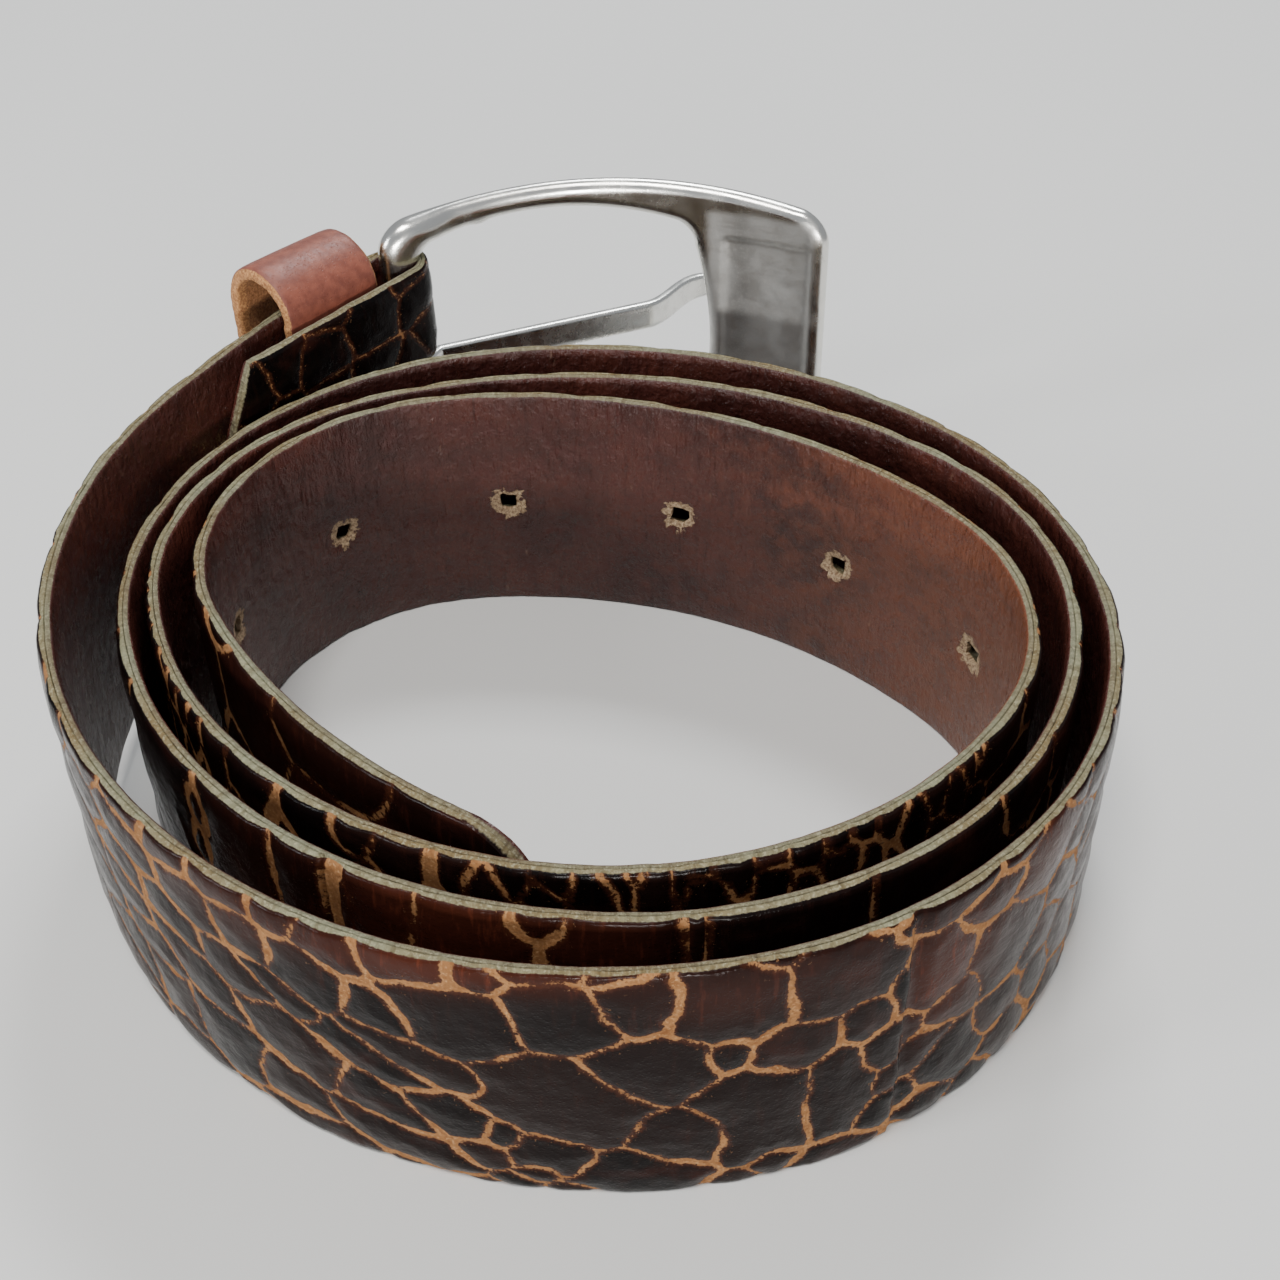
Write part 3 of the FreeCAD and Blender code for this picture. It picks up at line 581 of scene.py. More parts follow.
def lining_relief(s, z):
    """Upright wrinkles where the coil is tightest, shallow waves and a dished hole rim."""
    wrinkled = ease(150, 100, s) * ease(55, 75, s) + 0.35
    lines = layered(s / 1.5 + 0.35 * layered(s / 9, z / 6, 61, 2), z / 15.0, 63, 3) - 0.5
    wave = 0.16 * (layered(s / 10.0, z / 9.0, 65, 3) - 0.5)
    chip = 0.22 * ease(2.9, 2.3, hole_reach(s, z) - 0.8 * (layered(s / 0.8, z / 0.8, 69, 2) - 0.5))
    return 0.26 * wrinkled * lines + wave - 0.06 - 0.9 * edge_roll(z) - chip


def hole_reach(s, z):
    """Distance from the nearest punched hole's middle."""
    number = np.clip(np.round((s - FIRST_HOLE) / HOLE_PITCH), 0, HOLE_COUNT - 1)
    return np.hypot(s - FIRST_HOLE - HOLE_PITCH * number, z - STRAP_WIDTH / 2)


# The grid's columns bend to a cut end's shape over this distance.
TRIM_BAND = 14.0


def tip_trim(s, z):
    """The tip's rounded corners."""
    past = np.maximum(TIP_RADIUS - np.minimum(z, STRAP_WIDTH - z), 0)
    corner = TIP_RADIUS - np.sqrt(np.maximum(TIP_RADIUS ** 2 - past ** 2, 0))
    return np.where(s < TRIM_BAND, corner + s * (TRIM_BAND - corner) / TRIM_BAND, s)


def tab_trim(s, z):
    """The tab's cut corners."""
    from_side = np.minimum(z, STRAP_WIDTH - z)
    cut_back = TAB_CORNER_RUN * np.maximum(1 - from_side / TAB_CORNER_RISE, 0)
    start = TOTAL - TRIM_BAND
    return np.where(s > start, start + (s - start) * (TRIM_BAND - cut_back) / TRIM_BAND, s)


def both_trims(s, z):
    """The lining runs the whole length, so it has both cut ends."""
    return tab_trim(tip_trim(s, z), z)


def straight(s, z):
    """No trim, for a length that is cut square at both ends."""
    return s


def punched(rag, seed, radius):
    """The six buckle holes."""
    return [Opening(FIRST_HOLE + HOLE_PITCH * k, STRAP_WIDTH / 2, 0.0, radius, rag, seed + k)
            for k in range(HOLE_COUNT)]


def prong_slot():
    """The slot in the fold that the prong's curl goes through."""
    middle = (FOLD_START + FOLD_END) / 2
    half = (FOLD_END - FOLD_START) / 2 + SLOT_REACH - SLOT_HALF_WIDTH
    return Opening(middle, STRAP_WIDTH / 2, half, SLOT_HALF_WIDTH, 0.5, 300)


def skin_piece(name, start, end, pitch, openings, trim, cad):
    """One length of skin, with the values that its material needs at every vertex."""
    points, quads, values = ply(start, end, SKIN, 0.0, pitch, openings, trim, scale_relief)
    s = values["s"]
    z = values["z"]
    reach, shade, tint = scales(s, z)
    warm = sum(share * np.exp(-(((s - ps) / ds) ** 2 + ((z - pz) / dz) ** 2))
               for ps, pz, ds, dz, share in WARM_PATCHES)
    under_lap = (s > MIDDLE_PANEL_END) & (s < MIDDLE_PANEL_END + COVERED)
    attributes = {"strip": np.stack([s, z, 0 * s], -1), "furrow": reach - furrow_width(s, z),
                  "shade": shade, "warm": np.where(under_lap, 0, np.minimum(warm, 1)),
                  "tint": tint, "raw": values["raw"], "rim": values["rim"]}
    piece = make_mesh(name, points, quads, attributes)
    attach(piece, "strap")
    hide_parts(cad)
    return piece


# ---------------------------------------------------------------- materials

class Maker:
    """Short calls for building one material's nodes."""

    def __init__(self, name):
        self.material = bpy.data.materials.new(name)
        self.material.use_nodes = True
        self.tree = self.material.node_tree
        self.tree.nodes.clear()
        self.shader = self.tree.nodes.new("ShaderNodeBsdfPrincipled")
        output = self.tree.nodes.new("ShaderNodeOutputMaterial")
        self.join(self.shader.outputs[0], output.inputs[0])

    def join(self, source, target):
        if isinstance(source, bpy.types.NodeSocket):
            self.tree.links.new(source, target)
        else:
            target.default_value = source

    def attribute(self, name, vector=False):
        node = self.tree.nodes.new("ShaderNodeAttribute")
        node.attribute_name = name
        return node.outputs["Vector" if vector else "Fac"]

    def math(self, kind, a, b=0.0, c=0.0):
        node = self.tree.nodes.new("ShaderNodeMath")
        node.operation = kind
        for value, socket in zip((a, b, c), node.inputs):
            self.join(value, socket)
        return node.outputs[0]

    def stretch(self, vector, x, y, z=1.0):
        node = self.tree.nodes.new("ShaderNodeVectorMath")
        node.operation = "MULTIPLY"
        self.join(vector, node.inputs[0])
        node.inputs[1].default_value = (x, y, z)
        return node.outputs[0]

    def times(self, a, b):
        return self.math("MULTIPLY", a, b)

    def waver(self, value, spread, base=0.0):
        """base plus a 0 to 1 value stretched to spread and centred on zero."""
        wave = self.math("MULTIPLY_ADD", value, spread, -spread / 2)
        return self.math("ADD", base, wave)

    def noise(self, vector, scale, detail, rough):
        node = self.tree.nodes.new("ShaderNodeTexNoise")
        self.join(vector, node.inputs["Vector"])
        node.inputs["Scale"].default_value = scale
        node.inputs["Detail"].default_value = detail
        node.inputs["Roughness"].default_value = rough
        return node.outputs[0]

    def cells(self, vector, scale):
        node = self.tree.nodes.new("ShaderNodeTexVoronoi")
        self.join(vector, node.inputs["Vector"])
        node.inputs["Scale"].default_value = scale
        return node.outputs["Distance"]

    def ramp(self, value, low, high, to_low=0.0, to_high=1.0):
        node = self.tree.nodes.new("ShaderNodeMapRange")
        node.interpolation_type = "SMOOTHSTEP"
        for item, socket in zip((value, low, high, to_low, to_high), node.inputs):
            self.join(item, socket)
        return node.outputs[0]

    def mix(self, share, a, b, kind="MIX"):
        node = self.tree.nodes.new("ShaderNodeMix")
        node.data_type = "RGBA"
        node.blend_type = kind
        sockets = [s for s in node.inputs if s.enabled]
        self.join(share, sockets[0])
        for colour, socket in zip((a, b), sockets[1:]):
            self.join((*colour, 1.0) if isinstance(colour, tuple) else colour, socket)
        return next(s for s in node.outputs if s.enabled)

    def bump(self, height, strength, distance, below=None):
        node = self.tree.nodes.new("ShaderNodeBump")
        node.inputs["Strength"].default_value = strength
        node.inputs["Distance"].default_value = distance
        self.join(height, node.inputs["Height"])
        if below is not None:
            self.join(below, node.inputs["Normal"])
        return node.outputs[0]

    def here(self):
        """Place on the piece, in millimetres."""
        node = self.tree.nodes.new("ShaderNodeTexCoord")
        return self.stretch(node.outputs["Object"], 1000.0, 1000.0, 1000.0)

    def set(self, **values):
        for key, value in values.items():
            self.join((*value, 1.0) if isinstance(value, tuple) and len(value) == 3 else value,
                      self.shader.inputs[key.replace("_", " ")])
        return self.material


def raw_edge(m, strip):
    """Colour of cut leather: a grey-green tan, darker where the fibres lie open."""
    soft = m.noise(m.stretch(strip, 1.0, 2.0), 0.9, 5.0, 0.65)
    fine = m.noise(m.here(), 2.6, 4.0, 0.7)
    broad = m.ramp(m.noise(m.stretch(strip, 1.0, 0.0), 0.035, 3.0, 0.6), 0.38, 0.62)
    olive = m.mix(m.ramp(soft, 0.30, 0.66), (0.085, 0.055, 0.024), (0.175, 0.130, 0.062))
    pale = m.mix(m.ramp(soft, 0.30, 0.66), (0.105, 0.093, 0.052), (0.205, 0.205, 0.130))
    base = m.mix(broad, olive, pale)
    return m.mix(m.ramp(fine, 0.46, 0.74), base, (0.31, 0.285, 0.185))


def croc_material():
    """Glazed dark scales, bare tan leather in the furrows, flakes and nicks, raw edges and rims."""
    m = Maker("croc_leather")
    strip = m.attribute("strip", vector=True)
    coarse = m.noise(strip, 0.55, 5.0, 0.62)
    fine = m.noise(strip, 2.3, 5.0, 0.7)
    ragged = m.waver(coarse, 0.7, m.waver(fine, 0.95, m.attribute("furrow")))
    bare = m.ramp(ragged, 0.10, -0.06)
    stain = m.ramp(ragged, 0.55, 0.02)
    brown = m.ramp(m.noise(m.stretch(strip, 0.11, 0.16), 1.0, 3.0, 0.5), 0.50, 0.70)
    dark = m.mix(m.ramp(m.attribute("shade"), 0.2, 1.0),
                 (0.0024, 0.0015, 0.0015), (0.0080, 0.0034, 0.0027))
    brown = m.times(brown, m.ramp(m.attribute("tint"), 0.15, 0.75, 0.0, 0.7))
    tile = m.mix(brown, dark, (0.024, 0.0070, 0.0048))
    streak = m.ramp(m.noise(m.stretch(strip, 1.0, 0.18), 1.1, 4.0, 0.6), 0.48, 0.78)
    tile = m.mix(m.times(streak, 0.14), tile, (0.042, 0.013, 0.0075))
    warm = m.times(m.attribute("warm"), m.ramp(streak, 0.0, 0.9, 0.45, 1.0))
    tile = m.mix(warm, tile, (0.085, 0.0205, 0.0100))
    tile = m.mix(m.times(stain, 0.62), tile, (0.055, 0.017, 0.008))
    flake = m.ramp(m.noise(strip, 1.9, 6.0, 0.72), 0.615, 0.665)
    flake = m.times(flake, m.ramp(ragged, 1.5, 0.2))
    tan_low = m.mix(m.ramp(coarse, 0.30, 0.60), (0.168, 0.068, 0.023), (0.305, 0.150, 0.061))
    tan = m.mix(m.ramp(fine, 0.50, 0.74), tan_low, (0.47, 0.285, 0.140))
    tan = m.mix(m.ramp(fine, 0.42, 0.26), tan, (0.085, 0.032, 0.014))
    crease = m.times(m.ramp(ragged, -0.16, -0.34), m.ramp(coarse, 0.42, 0.6, 0.0, 0.6))
    tan = m.mix(crease, tan, (0.11, 0.038, 0.013))
    nick = m.ramp(m.noise(m.stretch(strip, 2.2, 0.7), 1.0, 6.0, 0.75), 0.70, 0.76)
    open_skin = m.math("MAXIMUM", bare, m.times(nick, 0.30))
    open_skin = m.math("MAXIMUM", open_skin, m.times(flake, 0.8))
    colour = m.mix(open_skin, tile, tan)
    raw = m.ramp(m.waver(fine, 0.9, m.attribute("raw")), 0.25, 0.6)
    rim = m.ramp(m.waver(fine, 1.2, m.attribute("rim")), 0.45, 0.15)
    raw = m.math("MAXIMUM", raw, rim)
    colour = m.mix(raw, colour, raw_edge(m, strip))
    worn = m.math("MAXIMUM", open_skin, raw)
    gloss = m.ramp(coarse, 0.3, 0.7, 0.13, 0.27)
    roughness = m.math("MULTIPLY_ADD", worn, 0.62, gloss)
    pores = m.cells(strip, 2.6)
    grain = m.math("MULTIPLY_ADD", m.ramp(pores, 0.05, 0.45), 0.18, m.times(fine, 0.35))
    grain = m.math("MULTIPLY_ADD", worn, m.noise(m.here(), 3.4, 5.0, 0.75), grain)
    step = m.times(open_skin, -0.7)
    normal = m.bump(m.math("ADD", grain, step), 0.55, 0.00016)
    normal = m.bump(m.noise(strip, 0.42, 3.0, 0.5), 0.35, 0.0005, normal)
    return m.set(Base_Color=colour, Roughness=roughness, Normal=normal,
                 Specular_IOR_Level=0.11)


def lining_material():
    """Half-gloss red-brown leather, clouded and wrinkled, more orange just past the holes."""
    m = Maker("lining_leather")
    strip = m.attribute("strip", vector=True)
    broad = m.noise(strip, 0.045, 4.0, 0.6)
    cloud = m.noise(strip, 0.28, 5.0, 0.62)
    fine = m.noise(strip, 2.2, 5.0, 0.7)
    upright = m.noise(m.stretch(strip, 1.0, 0.07), 1.5, 5.0, 0.62)
    base = m.mix(m.ramp(broad, 0.38, 0.62), (0.032, 0.0098, 0.0076), (0.068, 0.0190, 0.0130))
    base = m.mix(m.ramp(cloud, 0.40, 0.72), base, (0.050, 0.0125, 0.0095))
    base = m.mix(m.ramp(upright, 0.50, 0.72, 0.0, 0.65), base, (0.024, 0.0068, 0.0052))
    base = m.mix(m.ramp(fine, 0.62, 0.78, 0.0, 0.45), base, (0.145, 0.052, 0.028))
    orange = m.ramp(m.math("MULTIPLY_ADD", cloud, 90.0, m.attribute("along")), 190.0, 265.0)
    orange = m.times(orange, m.ramp(m.attribute("along"), 320.0, 270.0))
    base = m.mix(m.times(orange, 0.65), base, (0.175, 0.055, 0.021))
    scuff = m.ramp(m.noise(m.stretch(strip, 0.5, 0.16), 1.0, 5.0, 0.7), 0.64, 0.74)
    base = m.mix(m.times(scuff, 0.35), base, (0.30, 0.20, 0.14))
    chipped = m.waver(m.noise(strip, 0.8, 3.0, 0.6), 3.4, m.attribute("rim"))
    chipped = m.math("MULTIPLY_ADD", fine, 0.5, chipped)
    rim = m.ramp(chipped, 1.40, 1.22)
    raw = m.ramp(m.waver(fine, 0.9, m.attribute("raw")), 0.25, 0.6)
    cut = m.mix(m.ramp(fine, 0.36, 0.62), (0.16, 0.088, 0.042), (0.52, 0.38, 0.235))
    colour = m.mix(raw, base, raw_edge(m, strip))
    colour = m.mix(rim, colour, cut)
    worn = m.math("MAXIMUM", raw, rim)
    roughness = m.math("MULTIPLY_ADD", worn, 0.42, m.ramp(cloud, 0.3, 0.7, 0.19, 0.36))
    wrinkle = m.math("MULTIPLY_ADD", upright, 0.75, m.times(fine, 0.38))
    pores = m.ramp(m.cells(strip, 1.9), 0.06, 0.30)
    wrinkle = m.math("MULTIPLY_ADD", pores, 0.16, wrinkle)
    wrinkle = m.math("MULTIPLY_ADD", worn, m.noise(m.here(), 3.0, 5.0, 0.75), wrinkle)
    normal = m.bump(wrinkle, 0.85, 0.00030)
    normal = m.bump(m.noise(m.stretch(strip, 1.0, 0.6), 0.75, 4.0, 0.6), 0.8, 0.0007, normal)
    normal = m.bump(cloud, 0.35, 0.0010, normal)
    return m.set(Base_Color=colour, Roughness=roughness, Normal=normal,
                 Specular_IOR_Level=0.40)


def keeper_material():
    """Smooth pored leather outside, suede inside and fuzzy orange-tan at the raw ends."""
    m = Maker("keeper_leather")
    place = m.here()
    grain = m.noise(place, 0.55, 5.0, 0.62)
    fine = m.noise(place, 2.6, 5.0, 0.7)
    pores = m.cells(place, 2.1)
    base = m.mix(m.ramp(grain, 0.34, 0.68), (0.150, 0.040, 0.025), (0.225, 0.066, 0.040))
    base = m.mix(m.ramp(pores, 0.16, 0.04, 0.0, 0.6), base, (0.085, 0.024, 0.015))
    base = m.mix(m.ramp(fine, 0.60, 0.76, 0.0, 0.5), base, (0.29, 0.105, 0.066))
    suede = m.mix(m.ramp(fine, 0.35, 0.68), (0.20, 0.078, 0.028), (0.42, 0.195, 0.078))
    inside = m.ramp(m.attribute("inside"), 0.35, 0.65)
    edge = m.mix(m.ramp(fine, 0.34, 0.66), (0.22, 0.082, 0.026), (0.56, 0.275, 0.105))
    raw = m.ramp(m.waver(fine, 0.8, m.attribute("raw")), 0.35, 0.62)
    colour = m.mix(raw, m.mix(inside, base, suede), edge)
    rough = m.math("MAXIMUM", raw, inside)
    streak = m.noise(place, 0.9, 3.0, 0.55)
    roughness = m.math("MULTIPLY_ADD", rough, 0.40, m.ramp(streak, 0.3, 0.7, 0.42, 0.56))
    height = m.math("MULTIPLY_ADD", m.ramp(pores, 0.04, 0.3), 0.35, m.times(fine, 0.5))
    height = m.math("MULTIPLY_ADD", rough, fine, height)
    return m.set(Base_Color=colour, Roughness=roughness,
                 Normal=m.bump(height, 0.55, 0.00022))


def metal_material(name, bright, dull, shine, wear_scale, with_worn=False):
    """Plated metal: fine scratches, clouding, grime in the worn parts, and painted shade lines
    where the piece marks them.
    """
    m = Maker(name)
    place = m.here()
    cloud = m.noise(place, wear_scale, 5.0, 0.65)
    fine = m.noise(place, 2.4, 6.0, 0.75)
    scratch = m.noise(m.stretch(place, 0.25, 0.25, 3.2), 1.0, 5.0, 0.7)
    across = m.noise(m.stretch(place, 2.6, 0.5, 0.35), 1.0, 5.0, 0.7)
    worn = m.attribute("worn") if with_worn else 0.0
    spots = m.ramp(fine, 0.66, 0.76)
    colour = m.mix(m.ramp(cloud, 0.35, 0.70, 0.0, 0.5), bright, dull)
    colour = m.mix(m.times(spots, 0.35), colour, (0.16, 0.13, 0.10))
    if with_worn:
        grime = m.times(worn, m.ramp(cloud, 0.25, 0.65, 0.45, 0.9))
        colour = m.mix(grime, colour, (0.56, 0.555, 0.535))
        # Painted shade: dark lines in the plate's recess, one beside the window and one just inside
        # the rim.
        colour = m.mix(m.times(m.attribute("painted_shade"), m.ramp(fine, 0.3, 0.6, 0.4, 1.0)),
                       colour, (0.20, 0.19, 0.18))
        colour = m.mix(m.times(m.times(worn, m.ramp(fine, 0.52, 0.7)), 0.5),
                       colour, (0.70, 0.69, 0.67))
    rough = m.ramp(cloud, 0.3, 0.7, shine, shine + 0.12)
    rough = m.math("MULTIPLY_ADD", spots, 0.25, rough)
    rough = m.math("MULTIPLY_ADD", worn, 0.26, rough)
    height = m.math("MULTIPLY_ADD", scratch, 0.5, m.times(across, 0.5))
    height = m.math("MULTIPLY_ADD", worn, fine, height)
    height = m.math("MULTIPLY_ADD", spots, -0.3, height)
    return m.set(Base_Color=colour, Metallic=1.0, Roughness=rough,
                 Normal=m.bump(height, 0.25, 0.00010))


croc = croc_material()
lining_finish = lining_material()
keeper_finish = keeper_material()
buckle_finish = metal_material("buckle_metal", (0.80, 0.785, 0.74), (0.66, 0.645, 0.60),
                               0.17, 0.22, with_worn=True)
prong_finish = metal_material("prong_metal", (0.78, 0.77, 0.73), (0.62, 0.605, 0.57), 0.20, 0.4)
staple_finish = metal_material("staple_steel", (0.50, 0.49, 0.47), (0.33, 0.31, 0.29), 0.24, 0.9)
brass_finish = metal_material("screw_brass", (0.66, 0.46, 0.20), (0.40, 0.26, 0.11), 0.22, 0.6)

# ---------------------------------------------------------------- strap pieces

skin_tip = skin_piece("strap_skin_tip_end_leather", 0.0, TIP_PANEL_END, 0.75,
                      punched(0.5, 200, HOLE_RADIUS), tip_trim, "strap_skin_tip_end")
skin_middle = skin_piece("strap_skin_middle_leather", TIP_PANEL_END, MIDDLE_PANEL_END, 0.5,
                         [], straight, "strap_skin_middle")
skin_buckle = skin_piece("strap_skin_buckle_end_leather", MIDDLE_PANEL_END, TOTAL, 0.46,
                         [prong_slot()], tab_trim, "strap_skin_buckle_end")
for skin in (skin_tip, skin_middle, skin_buckle):
    skin.data.materials.append(croc)

points, quads, values = ply(0.0, TOTAL, -LINING, 0.0, 1.02,
                            punched(0.9, 400, 1.4) + [prong_slot()], both_trims,
                            lining_relief)
lining = make_mesh("strap_lining_leather", points, quads,
                   {"strip": np.stack([values["s"], values["z"], 0 * values["s"]], -1),
                    "raw": values["raw"], "rim": values["rim"], "along": values["s"]})
lining.data.materials.append(lining_finish)
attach(lining, "strap")
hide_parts("strap_lining")

# ---------------------------------------------------------------- keeper loop

BACK = np.array([math.cos(math.radians(228)), math.sin(math.radians(228))])
INWARD = np.array([-BACK[1], BACK[0]])
KEEPER_START = 5.2
KEEPER_WIDTH = 16.3
KEEPER_THICK = 2.2
KEEPER_OUTSIDE = (-12.0, 1.9)
KEEPER_LOW = 3.6
KEEPER_HIGH = 49.0
FOOT_RADIUS = 5.2
CROWN_RADIUS = 6.8
KEEPER_AROUND = 110.0
END_ROUND = 0.5


def keeper_line(inset, count):
    """The keeper's outline, inset by a distance: rounded feet and a rounded crown."""
    left = KEEPER_OUTSIDE[0] + inset
    right = KEEPER_OUTSIDE[1] - inset
    low = KEEPER_LOW + inset
    high = KEEPER_HIGH - inset
    foot = FOOT_RADIUS - inset
    crown = CROWN_RADIUS - inset
    spots = []
    for cx, cz, radius, start in ((right - crown, high - crown, crown, 0),
                                  (left + crown, high - crown, crown, 90),
                                  (left + foot, low + foot, foot, 180),
                                  (right - foot, low + foot, foot, 270)):
        for angle in np.radians(np.linspace(start, start + 90, 40)):
            spots.append((cx + radius * math.cos(angle), cz + radius * math.sin(angle)))
    spots = np.array(spots + spots[:1])
    run = np.concatenate([[0], np.cumsum(np.hypot(*np.diff(spots, axis=0).T))])
    even = np.linspace(0, run[-1], count, endpoint=False)
    return np.stack([np.interp(even, run, spots[:, 0]), np.interp(even, run, spots[:, 1])], -1)


def keeper():
    """The keeper as a ring of sections, each round the outside, an end, the inside, an end."""
    count = 300
    width_steps = 34
    edge_steps = 6
    outer = keeper_line(0.0, count)
    inner = keeper_line(KEEPER_THICK, count)
    across = np.linspace(END_ROUND, KEEPER_WIDTH - END_ROUND, width_steps)
    # Each row is place across the width, level from outside to inside, inside and raw.
    section = []
    for depth, xs in ((0.0, across), (1.0, across[::-1])):
        section += [(x, depth, depth, 0.0) for x in xs]
        for share in np.arange(1, edge_steps) / edge_steps:
            push = END_ROUND * math.sin(math.pi * share) ** 0.5
            if depth == 0.0:
                section.append((KEEPER_WIDTH - END_ROUND + push, share, 0.5, 1.0))
            else:
                section.append((END_ROUND - push, 1 - share, 0.5, 1.0))
    around = (np.arange(count) / count * KEEPER_AROUND)[:, None]
    x, level, inside, raw = (column[None, :] + 0 * around for column in np.array(section).T)
    from_end = np.minimum(x, KEEPER_WIDTH - x)
    # The raw ends fray a little way along the inside.
    frayed = np.maximum(raw, 0.8 * (level > 0.5) * ease(2.6, 0.6, from_end))
    wobble = 0.28 * (layered(around / 6.0 + 0 * x, x / 6.0, 81, 3) - 0.5)
    fray = 0.25 * raw * (layered(around / 0.9 + 0 * x, x * 2 + level * 5, 83, 3) - 0.5)
    yz = outer[:, None, :] * (1 - level[..., None]) + inner[:, None, :] * level[..., None]
    toward = inner - outer
    toward = toward / np.maximum(np.hypot(*toward.T), 1e-6)[:, None]
    edge_round = 0.35 * np.exp(-from_end / 0.8) * (1 - raw)
    sign = np.where(level < 0.5, 1.0, -1.0)
    sink = edge_round * sign + (0.15 + wobble * 0.5) * (level < 0.5)
    yz = yz + toward[:, None, :] * sink[..., None]
    x = x + fray + 0.25 * (layered(around / 9.0 + 0 * x, 0 * x, 85, 2) - 0.5)
    ground = BAR + (KEEPER_START + x)[..., None] * BACK + yz[..., 0:1] * INWARD
    points = np.concatenate([ground, yz[..., 1:2]], -1).reshape(-1, 3)
    return make_mesh("keeper_loop_leather", points, ring_quads(count, len(section)),
                     {"raw": frayed.ravel(), "inside": inside.ravel()})


keeper_piece = keeper()
keeper_piece.data.materials.append(keeper_finish)
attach(keeper_piece, "keeper")
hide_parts("keeper_loop")

# ---------------------------------------------------------------- buckle

FRAME_LENGTH = 62.5
FRAME_BOW = 8.5
FRAME_HALF_THICK = 1.5
BAR_RADIUS = 2.2
PLATE_INNER = 43.5
BOW_RADIUS = ((FRAME_LENGTH / 2) ** 2 + FRAME_BOW ** 2) / (2 * FRAME_BOW)
BOW_CENTRE = FRAME_BOW - BOW_RADIUS
HEEL = -2.25
FRAME_LOW = 3.0
FRAME_HIGH = 49.0
WINDOW_LEFT = 2.3
WINDOW_LOW = 7.0
WINDOW_HIGH = 45.0
RAIL_BULGE = 2.9
PLATE_SAG = 2.4
RECESS_DEPTH = 0.5


def rounded_loop(left, right, low, high, bulge, radii, sag=0.0):
    """A closed outline with bulged top and bottom edges and a right side that sags outwards.

    radii start at the lower left and go round by the lower right. The points are in no order."""
    low_left, low_right, high_right, high_left = radii
    middle = (left + right) / 2
    half = (right - left) / 2

    def swell(x):
        return bulge * (1 - ((x - middle) / half) ** 2)

    spots = []
    for cx, cz, radius, start, way in (
            (left + low_left, low + low_left, low_left, 180, -1),
            (right - low_right, low + low_right, low_right, 270, -1),
            (right - high_right, high - high_right, high_right, 0, 1),
            (left + high_left, high - high_left, high_left, 90, 1)):
        for angle in np.radians(np.linspace(start, start + 90, 24)):
            x = cx + radius * math.cos(angle)
            out = radius * math.sin(angle) + way * swell(x) * abs(math.sin(angle))
            spots.append((x, cz + out))
    for x in np.linspace(left + low_left, right - low_right, 60)[1:-1]:
        spots.append((x, low - swell(x)))
    for x in np.linspace(right - high_right, left + high_left, 60)[1:-1]:
        spots.append((x, high + swell(x)))
    for share in np.linspace(0, 1, 50)[1:-1]:
        rise = share * (high - high_right - low - low_right)
        spots.append((right + sag * (1 - (2 * share - 1) ** 2), low + low_right + rise))
        spots.append((left, low + low_left + share * (high - high_left - low - low_left)))
    return np.array(spots)


def by_angle(spots, centre, angles):
    """Where rays from the centre at these angles meet the outline."""
    away = spots - centre
    turn = np.arctan2(away[:, 1], away[:, 0])
    order = np.argsort(turn)
    turn = turn[order]
    reach = np.hypot(*away[order].T)
    return centre + np.interp(angles, turn, reach, period=2 * math.pi)[:, None] * np.stack(
        [np.cos(angles), np.sin(angles)], -1)


def bow(x, z, lift):
    """Places a flat point on the bowed frame, raised by lift along its outward normal."""
    lean = (x - FRAME_LENGTH / 2) / BOW_RADIUS
    up = np.sqrt(np.maximum(1 - lean ** 2, 0))
    return np.stack([BAR[0] + x + lift * lean, BAR[1] + BOW_CENTRE + BOW_RADIUS * up + lift * up,
                     z + 0 * x], -1)


